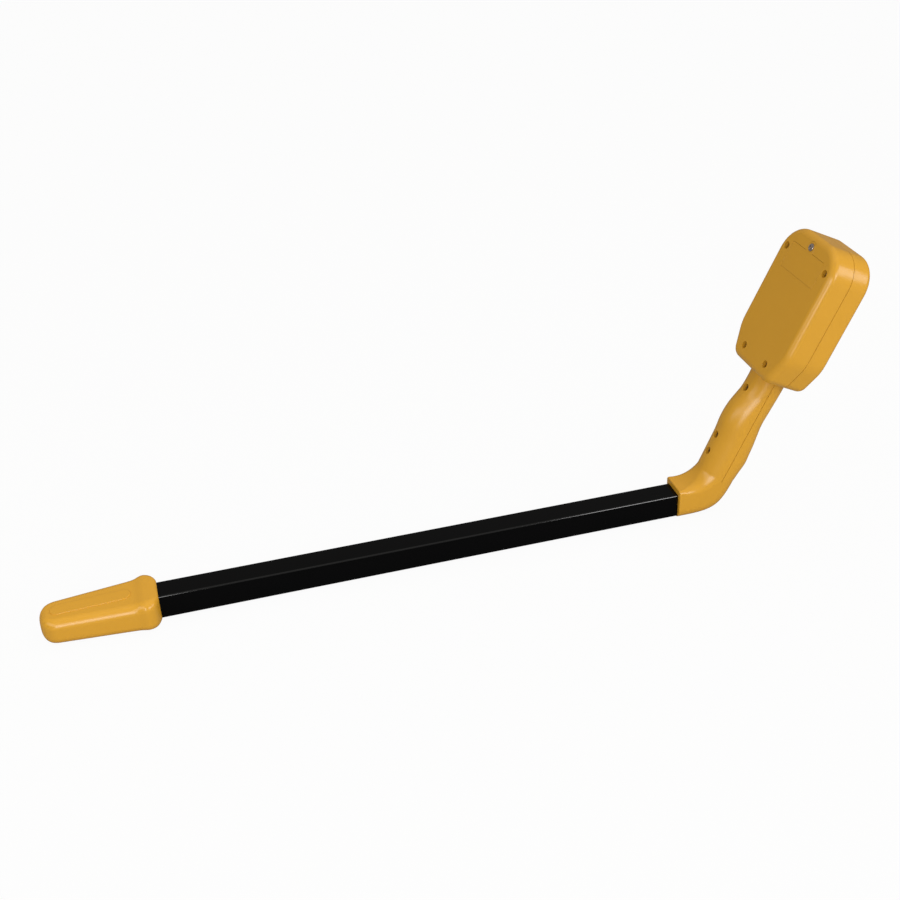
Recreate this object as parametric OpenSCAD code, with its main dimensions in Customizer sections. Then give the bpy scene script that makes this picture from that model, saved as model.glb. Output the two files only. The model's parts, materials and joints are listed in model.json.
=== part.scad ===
// Cable locator: a yellow receiver head and pistol handle on a black square wand with a sensing tip.
// X runs along the wand from the tip to the head, Z is up, and Z = 0 is the table it stands on.

/* [Wand] */
// Side of the square tube
tube_w = 25.4; // [24:0.1:27]
// Wall of the square tube
tube_wall = 1.6; // [1.2:0.1:2]
// Length of tube seen between the boot and the handle
tube_run = 530.8; // [400:0.1:700]

/* [Boot] */
// Length of the boot at the sensing end
boot_l = 111.5; // [108:0.5:125]
// Width of the boot behind its collar
boot_w = 53; // [50:1:58]
// Width of the boot where its tip starts to round
boot_tip_w = 42; // [38:1:46]

/* [Handle] */
// Angle between the tube and the handle
bend_angle = 64; // [60:1:68]
// Length of the handle from the bend to the head
handle_l = 145.4; // [140:0.1:156]
// Width of the handle
handle_w = 40; // [38:1:44]

/* [Head] */
// Width of the head
head_w = 99.4; // [97:0.2:106]
// Length of the head
head_l = 144.8; // [143:0.2:156]
// Depth of the head
head_d = 48.2; // [47.6:0.2:54]
// Wall of both shells
wall = 2.6; // [2.2:0.1:3]

/* [Battery door] */
// Width of the door
door_w = 61.4; // [60:0.2:64]
// Height of the door without its tab
door_h = 27.5; // [26.5:0.5:29]
// Thickness of the door
door_t = 2.4; // [2.2:0.1:2.8]

/* [Controls] */
// Diameter of the volume knob
knob_d = 24; // [20:1:26]
// Height of the volume knob over the panel
knob_h = 12; // [10:1:13]
// Diameter of the two gain buttons
button_d = 10; // [8:0.5:11]
// Travel of the two gain buttons
button_travel = 0.8; // [0.5:0.1:1]

/* [Fits] */
// Gap around the door and the buttons
seam = 0.35; // [0.3:0.05:0.5]
// Radial clearance of turning and seated round parts
run_gap = 0.05; // [0.03:0.01:0.08]

/* [Hidden] */
$fn = 48;

yellow = [0.80, 0.57, 0.19];
black = [0.03, 0.03, 0.035];
charcoal = [0.12, 0.12, 0.13];
steel = [0.72, 0.73, 0.74];
brass = [0.78, 0.62, 0.28];
board_green = [0.07, 0.30, 0.16];
copper = [0.72, 0.38, 0.18];
ivory = [0.86, 0.85, 0.80];
slate = [0.30, 0.32, 0.34];
lens_tint = [0.75, 0.80, 0.82];
display_grey = [0.55, 0.60, 0.52];
lead_red = [0.60, 0.05, 0.05];
lead_blue = [0.05, 0.05, 0.30];

// A cut runs this far past the face that it opens, and a boss this far into its wall
over = 1;
// A block of this size reaches past the whole part
far = 400;

// Socket: the lower end of the rear shell, which takes the tube
tube_half = tube_w / 2;
socket_floor = 2.8;
rest_h = tube_half + socket_floor;
socket_side = 4.3;
socket_roof = 6.3;
socket_half = tube_half + socket_side;
socket_top = tube_half + socket_roof;
socket_reach = 32.7;
socket_edge = 3.5;
bend_x = tube_run + socket_reach;
tube_short = 6.5;
tube_end = bend_x - tube_short;
tube_fit = 0.1;
tube_round = 1.5;
bore_round = 0.6;
// The underside is cut flat this far into its rounding
trim = 0.3;

// Bend: the section planes turn about a line behind the elbow
bend_r = 28;
grip_rear_low = 19.2;
grip_front_low = 19.7;
centre_z = socket_top + bend_r;
centre_n = grip_rear_low + bend_r;
centre_s = (centre_z - centre_n * cos(bend_angle)) / sin(bend_angle);
centre_x = bend_x + centre_s * cos(bend_angle) - centre_n * sin(bend_angle);
outer_low = centre_z + rest_h + trim;
outer_high = centre_n + grip_front_low;
heel = 7;
grip_round = 16;
under_round = 12;

// Grip outline: share of the handle's length, then distance from the parting plane
grip_rear = [
    [0.19, 19.2], [0.40, 20.0], [0.50, 20.6], [0.59, 22.2], [0.69, 21.3],
    [0.75, 19.3], [0.81, 16.8], [0.90, 14.4], [1.00, 15.0], [1.10, 16.0],
];
grip_front = [
    [0.19, 19.7], [0.28, 21.2], [0.35, 22.9], [0.42, 21.8], [0.48, 21.2],
    [0.57, 19.3], [0.66, 17.7], [0.76, 18.3], [0.92, 19.4], [1.10, 19.6],
];
grip_steps = 20;
bend_steps = 10;
corner_steps = 6;
// The grip and its cavity run this far into the head
grip_lap = 11;
cavity_lap = 13;
handle_screw_spots = [0.861, 0.468, 0.337] * handle_l;

// Head: the parting plane is n = 0, the back face is at head_rear, the panel at -head_front
head_rear = 25;
head_front = head_d - head_rear;
head_top = handle_l + head_l;
head_round = 7;
crown_r = 30;
flank_r = 38;
chin_r = 12.6;
chin_in = 21.5;
flank_rise = 0.4;
crown = [head_top - crown_r, head_w / 2 - crown_r];
flank = [handle_l + flank_rise + flank_r, head_w / 2 - flank_r];
chin = [handle_l + chin_r, head_w / 2 - chin_in];
panel_in = -(head_front - wall);
floor_in = over - head_front;

// Span along X, so that the origin is under the middle of the whole wand
span_max = bend_x + (head_top - head_round) * cos(bend_angle)
    + (head_front - head_round) * sin(bend_angle) + head_round;
mid_x = (span_max - boot_l) / 2;

// Case screws
screw_r = 1.5;
screw_head_r = 3;
screw_head_h = 2.4;
screw_fit = 0.2;
hole_floor = 4;
tip_gap = 1;
well_r = 3.75;
well_d = 6;
grip_well_d = 5;
boss_r = 4.6;
// Crown and chin screws: distance from the end of the head and from its side
crown_screw_in = [24.4, 12.2];
chin_screw_in = [15, 27.2];
crown_screw = [head_top - crown_screw_in[0], head_w / 2 - crown_screw_in[1]];
chin_screw = [handle_l + chin_screw_in[0], head_w / 2 - chin_screw_in[1]];
case_screw_spots = [
    crown_screw, [crown_screw[0], -crown_screw[1]], chin_screw, [chin_screw[0], -chin_screw[1]],
];

// Battery door and its well
door_drop = 44.3;
door_lo = head_top - door_drop;
door_hi = door_lo + door_h;
door_corner = 3;
door_floor = head_rear - door_t;
hinge_s = door_lo + door_t / 2;
hinge_n = head_rear - door_t / 2;
hinge_bar_r = door_t / 2 - 0.15;
hinge_pin_r = 0.7;
hinge_pin_l = 1.7;
pin_end_gap = 0.3;
tab_r = 6;
tab_reach = 5;
latch_s = door_hi + tab_reach;
latch_head_r = 3.7;
latch_gap = 0.3;
latch_sunk = 1;
latch_proud = 0.9;
latch_reach = 2.6;
insert_r = 2.6;
insert_l = 6;
insert_sunk = 0.1;
insert_play = 0.45;
mouth_lo = door_lo + 3.2;
mouth_hi = door_hi - 2.4;
mouth_w = door_w - 4;
well_wall = 1.6;
frame_depth = 5.5;
frame_in = head_rear - frame_depth;
frame_rim = hinge_pin_l + 1.5;
frame_lap = 0.2;
pad_t = 1.6;
pad_half = 6.5;
pad_ends = [6, 8];
pad_gap = 0.3;
battery_thick = 17.5;
battery_deep = 26.5;
battery_body = 46.4;
battery_round = 2;
battery_post = 2.1;
battery_post_r = 2.8;
battery_post_out = 6.35;
battery_n = door_floor - pad_t - pad_gap;
battery_mid = battery_n - battery_deep / 2;
battery_floor = battery_n - battery_deep;
battery_s = (mouth_lo + mouth_hi) / 2;
battery_y = -mouth_w / 2 + 1;
battery_end = battery_y + battery_body;
snap_t = 5.5;
snap_half = [6.2, 12.7];
snap_fit = 0.2;
wire_gate = [6, 5];
wire_y = battery_end + 3;
wire_n = 6.5;
wire_apart = 1.2;

// Speaker: as large as the chin screws let it be
speaker_fit = 0.2;
ring_wall = 1.5;
ring_h = 3.5;
ring_gap = 1.3;
window = [26, 44];
lens_lip = 3;
pot_r = 8;
speaker_low = 31;
speaker_r = norm([speaker_low - chin_screw_in[0], chin_screw[1]])
    - boss_r - ring_wall - speaker_fit - ring_gap;
slot_w = 2.4;
slot_pitch = speaker_r / 4;
slot_half = 0.8 * speaker_r;
slot_step = speaker_r / 10;
rim_t = 1.6;
rim_w = 3;
basket_h = 8.5;
basket_t = 0.8;
cone_t = 0.7;
voice_r = 0.23 * speaker_r;
magnet_t = [2.5, 3.5];
magnet_r = [0.55, 0.45] * speaker_r;

// Panel on the front face: chin, speaker, knob, window and top share the length that is left between them
panel_free = head_l - 2 * (speaker_r + pot_r + lens_lip) - window[0];
speaker_s = handle_l + 0.194 * panel_free + speaker_r;
knob_s = speaker_s + speaker_r + 0.155 * panel_free + pot_r;
display_s = head_top - 0.317 * panel_free - lens_lip - window[0] / 2;
overlay_t = 0.5;
overlay_rim = 8;
overlay_lo = knob_s - knob_d / 2 - overlay_rim;
overlay_top = 11;
overlay_hi = head_top - overlay_top;
overlay_corner = 14;
lens_t = 1.5;
lens_fit = 0.1;
window_round = 2;
display_t = 3;
display_rim = 1;
display_gap = 0.3;
display_leg_r = 1.5;
button_gap = 7;
button_y = knob_d / 2 + button_d / 2 + button_gap;
overlay_half = button_y + button_d / 2 + button_gap;
button_lip = 1.3;
button_lip_t = 1.4;
button_proud = 2;
lip_gap = 0.3;
stem_r = 1.7;
stem_in = 0.6;
stem_gap = 0.3;
switch_h = 4;
switch_half = 3;
bushing_r = 3.5;
bushing_proud = 3.6;
shaft_r = 3;
pot_t = 8.8;
pot_back = 2;
pot_pin = [0.5, 1];
pot_pin_out = 0.75 * pot_r;
pot_pin_pitch = pot_r / 2;
nut_flats = 10;
nut_t = 2;
knob_lift = 0.5;
knob_cap = 2.5;
knob_skirt = 1.5;
knob_step = 1;
knob_hollow_r = 7;
knob_hollow_d = 4.2;
shaft_end_gap = 0.5;
flutes = 18;
flute_r = 1.1;
flute_in = 0.4;
pointer = [1.2, 0.6];
pointer_in = 2;

// Circuit board between the speaker's magnet and the top, and what sits on it
board_n = -9;
board_t = 1.6;
board_half = 31;
board_gap = 11.8;
board_lo = speaker_s + magnet_r[0] + board_gap;
board_top = 9.5;
board_hi = head_top - board_top;
board_post_in = [4, 2.6];
post_y = board_half - board_post_in[1];
board_posts = [
    [board_lo + board_post_in[0], post_y], [board_lo + board_post_in[0], -post_y],
    [board_hi - board_post_in[0], post_y], [board_hi - board_post_in[0], -post_y],
];
post_r = 3;
board_screw_r = 1.1;
board_screw_l = 6;
board_screw_head = [2, 1.5];
plug_in = 1;
plug_y = 9.5;
plug_n = board_n + 3;
plug_half = 4;
plug_grip = 4;
// Two chips: corner on the board, then length, width and height
chips = [[4, -14, 12, 16, 1.6], [10, -25, 6, 8, 1.6]];
// Two capacitors: place on the board, then radius and height
capacitors = [[21, -8, 4, 9], [21, 3, 3.1, 7]];
// Row of resistors: first corner on the board, then pitch, and the size of one
resistors = [[10, 15, 0], [4, 0, 0]];
resistor = [2, 3.6, 0.9];

// Boot and coil
boot_grip = 30;
flange_t = 3;
boot_top = tube_half + 1.8;
boot_drop = 3;
boot_edge = 9;
collar_l = 22;
tip_round = 17;
nose_drop = 0.75;
nose_edge = 0.45;
// Collar bead: X, then gain in half width and in height
collar_bead = [
    [0, -10, -0.6], [-0.8, -6, 0.6], [-2.4, -2.8, 1.4], [-5, 0, 2], [-9, 1.8, 2.3],
    [-13, 2.1, 2.3], [-17, 1.3, 1.5], [-20, 0.5, 0.6], [-23.5, 0, 0],
];
bead_end = collar_bead[len(collar_bead) - 1][0];
// Crest: the long raised pad on top of the boot
crest_start = 25;
crest_end = 10.5;
crest_w = 15;
crest_rise = 0.8;
crest_sunk = 3;
crest_l = boot_l - crest_start - crest_end;
crest_x = -crest_start - crest_l / 2;
coil_bore_r = 9.5;
coil_stop = 15;
rod_r = 4;
core_r = 5;
winding_r = 8;
pin_r = 2;
pin_back = 18.5;
pin_x = bend_x - pin_back;
pin_half = tube_half + 2.3;
coil_tip = coil_stop - boot_l;
coil_fit = 0.2;
rod_seat = 1;

// Leads, swept along hand-set points
lead_r = 1.75;
thin_lead_r = 0.7;
lead_sides = 8;
voice_lead_y = 3;
lead_rise = 2.4;
// Antenna lead: height in the tube, and how far ahead of the pin it rises
lead_z = 6;
lead_ahead = 15;
// Where it crosses the elbow, below the start of the grip
lead_cross = [13, 3];

function blend(a, b, t) = a + (b - a) * t;
function soft_lookup(f, table) =
    (lookup(f - 0.03, table) + 2 * lookup(f, table) + lookup(f + 0.03, table)) / 4;
function rear_at(s) = soft_lookup(s / handle_l, grip_rear);
function front_at(s) = soft_lookup(s / handle_l, grip_front);
function outer_r(a) =
    1 / pow(pow(cos(a) / outer_low, heel) + pow(cos(bend_angle - a) / outer_high, heel), 1 / heel);
function in_head(s, y, n) =
    [bend_x + s * cos(bend_angle) - n * sin(bend_angle), y, s * sin(bend_angle) + n * cos(bend_angle)];

// A section: its plane's foot and tilt, rear and front reach, half width, rear and front corners
function bend_section(a, inset) = let (t = a / bend_angle) [
    centre_x, centre_z, a, -bend_r - inset, -outer_r(a) + inset,
    blend(socket_half, handle_w / 2, t) - inset,
    max(blend(socket_edge, grip_round, t) - inset, 1),
    blend(under_round, grip_round, t) - inset,
];
function mouth_section() = [
    tube_run, 0, 0, socket_top, -rest_h - trim, socket_half, socket_edge, under_round,
];
function grip_section(s, inset) = [
    bend_x + s * cos(bend_angle), s * sin(bend_angle), bend_angle,
    rear_at(s) - inset, inset - front_at(s), handle_w / 2 - inset,
    grip_round - inset, grip_round - inset,
];
// Sections run from the head down to the elbow, as far as the bend's step last
function grip_sections(inset, top, last) = concat(
    [for (i = [0:grip_steps - 1]) grip_section(blend(top, centre_s, i / grip_steps), inset)],
    [for (i = [bend_steps:-1:last]) bend_section(bend_angle * i / bend_steps, inset)]
);

function corner(y, n, r, from) =
    [for (k = [0:corner_steps]) let (a = from + 90 * k / corner_steps) [y + r * cos(a), n + r * sin(a)]];
function section_outline(q) = concat(
    corner(q[5] - q[6], q[3] - q[6], q[6], 0),
    corner(q[6] - q[5], q[3] - q[6], q[6], 90),
    corner(q[7] - q[5], q[4] + q[7], q[7], 180),
    corner(q[5] - q[7], q[4] + q[7], q[7], 270)
);
function section_ring(q) =
    [for (p = section_outline(q)) [q[0] - p[1] * sin(q[2]), p[0], q[1] + p[1] * cos(q[2])]];

// A skin over rings that all have the same number of points
module skin(rings) {
    n = len(rings[0]);
    last = len(rings) - 1;
    sides = [for (i = [0:last - 1], j = [0:n - 1]) let (
        a = i * n + j,
        b = i * n + (j + 1) % n
    ) each [[a, b, b + n], [a, b + n, a + n]]];
    caps = [[for (j = [0:n - 1]) n - 1 - j], [for (j = [0:n - 1]) last * n + j]];
    polyhedron([for (r = rings) each r], concat(sides, caps));
}

function unit(v) = v / norm(v);
function lead_ring(path, i, r) = let (
    t = unit(path[min(i + 1, len(path) - 1)] - path[max(i - 1, 0)]),
    u = unit(cross(t, [0, 1, 0])),
    v = cross(u, t)
) [for (k = [0:lead_sides - 1]) let (a = 360 * k / lead_sides) path[i] + r * (cos(a) * u + sin(a) * v)];
module lead(path, r) {
    skin([for (i = [0:len(path) - 1]) lead_ring(path, i, r)]);
}

module at_wand() {
    translate([-mid_x, 0, rest_h]) children();
}
module at_bend() {
    translate([bend_x, 0, 0]) rotate([0, -bend_angle, 0]) children();
}
module at_head() {
    at_wand() at_bend() children();
}
// A post along n from low to high
module post(s, y, low, high, r) {
    translate([s, y, low]) cylinder(r = r, h = high - low);
}
// A bar along Y between two ends
module bar(s, n, from, to, r) {
    translate([s, from, n]) rotate([-90, 0, 0]) cylinder(r = r, h = to - from);
}
// A round bar along X between two ends
module bar_x(from, to, y, n, r) {
    translate([from, y, n]) rotate([0, 90, 0]) cylinder(r = r, h = to - from);
}
// A block from one corner to the other
module block(low, high) {
    translate(low) cube(high - low);
}
module rounded(w, h, r) {
    square([w - 2 * r, h], center = true);
    square([w, h - 2 * r], center = true);
    for (x = [-1, 1], y = [-1, 1]) translate([x * (w / 2 - r), y * (h / 2 - r)]) circle(r);
}
// A rounded bar of the tube's kind along X
module square_bar(from, to, side, r) {
    translate([from, 0, 0]) rotate([90, 0, 90]) linear_extrude(to - from) rounded(side, side, r);
}
// A cross recess that opens upwards from the height from
module cross_recess(reach, w, from) {
    for (turn = [0, 90]) rotate(turn) translate([-reach, -w / 2, from]) cube([2 * reach, w, 2 * over]);
}
module screw(seat, tip) {
    post(0, 0, tip, seat, screw_r);
    difference() {
        post(0, 0, seat, seat + screw_head_h, screw_head_r);
        cross_recess(2, 1, seat + screw_head_h / 2);
    }
}
// The space under the table's top
module below_table() {
    translate([-boot_l - far, -far / 2, -rest_h - far]) cube([3 * far + bend_x, far, far]);
}

module head_disc(r, front, rear, f) {
    quarter = [for (k = [0:4]) 22.5 * k];
    rotate_extrude() polygon(concat(
        [[0, -front]],
        [for (a = quarter) [r - f + f * sin(a), -front + f - f * cos(a)]],
        [for (a = quarter) [r - f + f * cos(a), rear - f + f * sin(a)]],
        [[0, rear]]
    ));
}
module head_form(inset) {
    hull() for (side = [-1, 1]) {
        for (c = [[crown, crown_r], [flank, flank_r], [chin, chin_r]]) {
            translate([c[0][0], side * c[0][1], 0]) {
                head_disc(c[1] - inset, head_front - inset, head_rear - inset, head_round - inset);
            }
        }
    }
}
// The space on each side of the parting plane, in the handle's frame
module rear_side() {
    translate([-far, -far / 2, 0]) cube([2 * far, far, far]);
}
module front_side() {
    translate([-far, -far / 2, -far]) cube([2 * far, far, far]);
}
module casing() {
    difference() {
        union() {
            skin([
                for (q = concat(grip_sections(0, handle_l + grip_lap, 0), [mouth_section()])) section_ring(q)
            ]);
            at_bend() head_form(0);
        }
        skin([for (q = grip_sections(wall, handle_l + cavity_lap, 3)) section_ring(q)]);
        at_bend() head_form(wall);
    }
}
module socket_bore() {
    square_bar(tube_run - over, tube_end + tube_fit, tube_w + 2 * tube_fit, tube_round);
    bar(pin_x, 0, -pin_half - tube_fit, pin_half + tube_fit, pin_r + run_gap);
}

module door_outline(grow) {
    half = door_w / 2 + grow;
    r = door_corner + grow;
    translate([(door_lo + door_hi) / 2, 0]) rounded(door_h + 2 * grow, 2 * half, r);
    translate([door_lo - grow, -half]) square([2 * r, 2 * half]);
    translate([door_hi - tab_r, -tab_r - grow]) square([latch_s - door_hi + tab_r, 2 * (tab_r + grow)]);
    translate([latch_s, 0]) circle(tab_r + grow);
}
module rear_shell() {
    color(yellow) at_wand() difference() {
        union() {
            intersection() {
                casing();
                at_bend() rear_side();
            }
            at_bend() {
                for (p = case_screw_spots) post(p[0], p[1], 0, head_rear - over, boss_r);
                for (s = handle_screw_spots) post(s, 0, 0, rear_at(s) - over, boss_r);
                post(latch_s, 0, door_floor - insert_l - well_wall, door_floor + frame_lap, tab_r + wall);
                block(
                    [door_lo - frame_rim, -door_w / 2 - frame_rim, frame_in],
                    [door_hi + frame_rim, door_w / 2 + frame_rim, head_rear - over]
                );
                block(
                    [mouth_lo - well_wall, -mouth_w / 2 - well_wall, battery_floor - well_wall],
                    [mouth_hi + well_wall, mouth_w / 2 + well_wall, frame_in + over]
                );
            }
        }
        socket_bore();
        below_table();
        at_bend() {
            for (p = case_screw_spots) {
                post(p[0], p[1], battery_floor - well_wall - over, head_rear, screw_r + screw_fit);
                post(p[0], p[1], head_rear - well_d, head_rear + over, well_r);
            }
            for (s = handle_screw_spots) {
                post(s, 0, -over, rear_at(s), screw_r + screw_fit);
                post(s, 0, rear_at(s) - grip_well_d, rear_at(s) + grip_well_d, well_r);
            }
            translate([0, 0, door_floor]) linear_extrude(door_t + over) door_outline(seam);
            block([mouth_lo, -mouth_w / 2, battery_floor], [mouth_hi, mouth_w / 2, head_rear]);
            bar(hinge_s, hinge_n, -door_w / 2 - hinge_pin_l - pin_end_gap,
                door_w / 2 + hinge_pin_l + pin_end_gap, hinge_pin_r + run_gap);
            post(latch_s, 0, door_floor - insert_l, head_rear, insert_r + run_gap);
            block(
                [mouth_lo - 2 * well_wall, wire_y - wire_gate[0] / 2, wire_n - wire_gate[1] / 2],
                [mouth_lo + over, wire_y + wire_gate[0] / 2, wire_n + wire_gate[1] / 2]
            );
        }
    }
}
module front_shell() {
    color(yellow) at_wand() difference() {
        union() {
            intersection() {
                casing();
                at_bend() front_side();
            }
            at_bend() {
                for (p = case_screw_spots) post(p[0], p[1], floor_in, 0, boss_r);
                for (s = handle_screw_spots) post(s, 0, over - front_at(s), 0, boss_r);
                for (p = board_posts) post(p[0], p[1], floor_in, board_n - board_t, post_r);
                difference() {
                    post(speaker_s, 0, floor_in, panel_in + ring_h, speaker_r + speaker_fit + ring_wall);
                    post(speaker_s, 0, panel_in, panel_in + ring_h + over, speaker_r + speaker_fit);
                }
            }
        }
        socket_bore();
        below_table();
        at_bend() {
            for (p = case_screw_spots) post(p[0], p[1], floor_in + hole_floor, over, screw_r + run_gap);
            for (s = handle_screw_spots) {
                post(s, 0, over + hole_floor - front_at(s), over, screw_r + run_gap);
            }
            for (p = board_posts) {
                post(p[0], p[1], board_n - board_t - board_screw_l - tip_gap, board_n,
                    board_screw_r + run_gap);
            }
            for (k = [-2:2]) {
                reach = slot_half - abs(k) * slot_step;
                block(
                    [speaker_s + k * slot_pitch - slot_w / 2, -reach, -head_front - over],
                    [speaker_s + k * slot_pitch + slot_w / 2, reach, panel_in + over]
                );
            }
            translate([0, 0, -head_front - over]) linear_extrude(over + overlay_t) overlay_outline();
            panel_holes();
        }
    }
}
module case_screws() {
    color(steel) at_head() for (p = case_screw_spots) {
        translate([p[0], p[1], 0]) screw(head_rear - well_d, floor_in + hole_floor + tip_gap);
    }
}
module handle_screws() {
    color(steel) at_head() for (s = handle_screw_spots) {
        translate([s, 0, 0]) screw(rear_at(s) - grip_well_d, over + hole_floor + tip_gap - front_at(s));
    }
}

module battery_door() {
    color(yellow) at_head() difference() {
        union() {
            intersection() {
                translate([0, 0, door_floor]) linear_extrude(door_t) door_outline(0);
                block([hinge_s, -door_w, 0], [head_top, door_w, head_rear + over]);
            }
            bar(hinge_s, hinge_n, -door_w / 2, door_w / 2, hinge_bar_r);
            bar(hinge_s, hinge_n, -door_w / 2 - hinge_pin_l, door_w / 2 + hinge_pin_l, hinge_pin_r);
        }
        post(latch_s, 0, door_floor - over, head_rear, screw_r + run_gap);
        post(latch_s, 0, head_rear - latch_sunk, head_rear + over, latch_head_r + latch_gap);
    }
}
module door_screw() {
    top = head_rear + latch_proud;
    color(steel) at_head() difference() {
        union() {
            post(latch_s, 0, door_floor - latch_reach, head_rear, screw_r);
            post(latch_s, 0, head_rear - latch_sunk + run_gap, top, latch_head_r);
        }
        translate([latch_s, 0, 0]) cross_recess(2.4, 1, top - 0.8);
    }
}
module door_insert() {
    color(brass) at_head() difference() {
        post(latch_s, 0, door_floor - insert_l, door_floor - insert_sunk, insert_r);
        post(latch_s, 0, door_floor - insert_l - over, door_floor, screw_r + insert_play);
    }
}
module door_pad() {
    color(charcoal) at_head() block(
        [battery_s - pad_half, -mouth_w / 2 + pad_ends[0], door_floor - pad_t],
        [battery_s + pad_half, mouth_w / 2 - pad_ends[1], door_floor]
    );
}

module battery() {
    color(charcoal) at_head() {
        translate([battery_s, battery_y, battery_mid]) rotate([-90, 0, 0]) {
            linear_extrude(battery_body) rounded(battery_thick, battery_deep, battery_round);
        }
        for (side = [-1, 1]) {
            n = battery_mid + side * battery_post_out;
            bar(battery_s, n, battery_end, battery_end + battery_post, battery_post_r);
        }
    }
}
module battery_snap() {
    color(black) at_head() difference() {
        block(
            [battery_s - snap_half[0], battery_end, battery_mid - snap_half[1]],
            [battery_s + snap_half[0], battery_end + snap_t, battery_mid + snap_half[1]]
        );
        for (side = [-1, 1]) {
            n = battery_mid + side * battery_post_out;
            bar(battery_s, n, battery_end - over, battery_end + battery_post + snap_fit,
                battery_post_r + snap_fit);
        }
    }
}
module battery_leads() {
    color(lead_red) at_head() for (side = [-1, 1]) {
        y = wire_y + side * wire_apart;
        lead([
            [battery_s - snap_half[0], y, wire_n], [mouth_lo - 0.5, y, wire_n],
            [mouth_lo - 5, y, 5], [mouth_lo - 8, y, 0], [mouth_lo - 8, y, board_n],
        ], thin_lead_r);
    }
}

module circuit_board() {
    color(board_green) at_head() difference() {
        block([board_lo, -board_half, board_n - board_t], [board_hi, board_half, board_n]);
        for (p = board_posts) {
            post(p[0], p[1], board_n - board_t - over, board_n + over, board_screw_r + screw_fit);
        }
    }
}
module board_screws() {
    color(steel) at_head() for (p = board_posts) {
        post(p[0], p[1], board_n - board_t - board_screw_l, board_n, board_screw_r);
        difference() {
            post(p[0], p[1], board_n, board_n + board_screw_head[1], board_screw_head[0]);
            translate([p[0], p[1], 0]) cross_recess(1.4, 0.6, board_n + board_screw_head[1] / 2);
        }
    }
}
// Two chips, two capacitors and a row of resistors
module board_parts() {
    color(charcoal) at_head() translate([board_lo, 0, board_n]) {
        for (c = chips) translate([c[0], c[1], 0]) cube([c[2], c[3], c[4]]);
        for (c = capacitors) post(c[0], c[1], 0, c[3], c[2]);
        for (k = [0:3]) translate(resistors[0] + k * resistors[1]) cube(resistor);
    }
}
module lead_plug() {
    color(ivory) at_head() difference() {
        block(
            [board_lo + plug_in, plug_y - plug_half, board_n],
            [board_lo + plug_in + 2 * plug_half, plug_y + plug_half, 2 * plug_n - board_n]
        );
        bar_x(board_lo, board_lo + plug_grip, plug_y, plug_n, lead_r + run_gap);
    }
}

module display_module() {
    front = panel_in + lens_t + display_gap;
    half = [window[0] / 2 + display_rim, window[1] / 2 + display_rim];
    leg = [half[0] - display_leg_r, half[1] - display_leg_r];
    color(display_grey) at_head() {
        block([display_s - half[0], -half[1], front], [display_s + half[0], half[1], front + display_t]);
        for (a = [-1, 1], b = [-1, 1]) {
            post(display_s + a * leg[0], b * leg[1], front + over, board_n - board_t, display_leg_r);
        }
    }
}
module display_lens() {
    lip = [window[0] + 2 * lens_lip, window[1] + 2 * lens_lip];
    color(lens_tint) at_head() translate([display_s, 0, 0]) {
        translate([0, 0, panel_in]) linear_extrude(lens_t) rounded(lip[0], lip[1], lens_lip);
        translate([0, 0, -head_front]) linear_extrude(wall + lens_t / 2) {
            rounded(window[0] - 2 * lens_fit, window[1] - 2 * lens_fit, window_round - lens_fit);
        }
    }
}
// The window, the knob's hole and the two button holes, through panel and overlay
module panel_holes() {
    translate([display_s, 0, -head_front - over]) linear_extrude(wall + 2 * over) {
        rounded(window[0], window[1], window_round);
    }
    post(knob_s, 0, -head_front - over, panel_in + over, bushing_r + run_gap);
    for (y = [-button_y, button_y]) {
        post(knob_s, y, -head_front - over, panel_in + over, button_d / 2 + seam);
    }
}
module overlay_outline() {
    translate([(overlay_lo + overlay_hi) / 2, 0]) {
        rounded(overlay_hi - overlay_lo, 2 * overlay_half, overlay_corner);
    }
}
module panel_overlay() {
    color(charcoal) at_head() difference() {
        translate([0, 0, -head_front]) linear_extrude(overlay_t) overlay_outline();
        panel_holes();
    }
}

module speaker_frame() {
    rim = speaker_r - rim_w;
    inner = basket_h - basket_t;
    color(steel) at_head() translate([speaker_s, 0, panel_in]) rotate_extrude() polygon([
        [rim, 0], [speaker_r, 0], [speaker_r, rim_t], [rim + basket_t, rim_t],
        [magnet_r[0], basket_h], [voice_r + speaker_fit, basket_h], [voice_r + speaker_fit, inner],
        [magnet_r[0] - basket_t / 2, inner], [rim, rim_t - basket_t / 2],
    ]);
}
module speaker_cone() {
    rim = speaker_r - rim_w;
    neck = 0.66 * basket_h;
    dome = 0.47 * basket_h;
    color(charcoal) at_head() translate([speaker_s, 0, panel_in]) rotate_extrude() polygon([
        [0, dome], [0.65 * voice_r, dome + cone_t], [1.3 * voice_r, neck], [rim, speaker_fit],
        [rim, speaker_fit + cone_t], [1.3 * voice_r, neck + cone_t], [voice_r, neck + cone_t],
        [voice_r, basket_h], [voice_r - cone_t, basket_h], [voice_r - cone_t, neck + cone_t / 2],
        [0, dome + cone_t],
    ]);
}
module speaker_magnet() {
    low = panel_in + basket_h;
    mid = low + magnet_t[0];
    color(slate) at_head() {
        post(speaker_s, 0, low, mid, magnet_r[0]);
        post(speaker_s, 0, mid, mid + magnet_t[1], magnet_r[1]);
    }
}
module speaker_leads() {
    from = speaker_s + speaker_r - rim_w / 2;
    to_n = board_n - board_t / 2;
    color(lead_blue) at_head() for (y = [-voice_lead_y, voice_lead_y]) lead([
        [from, y, panel_in + rim_t], [from, y, panel_in + rim_t + lead_rise],
        [board_lo - lead_rise, y, to_n], [board_lo, y, to_n],
    ], thin_lead_r);
}

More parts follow.
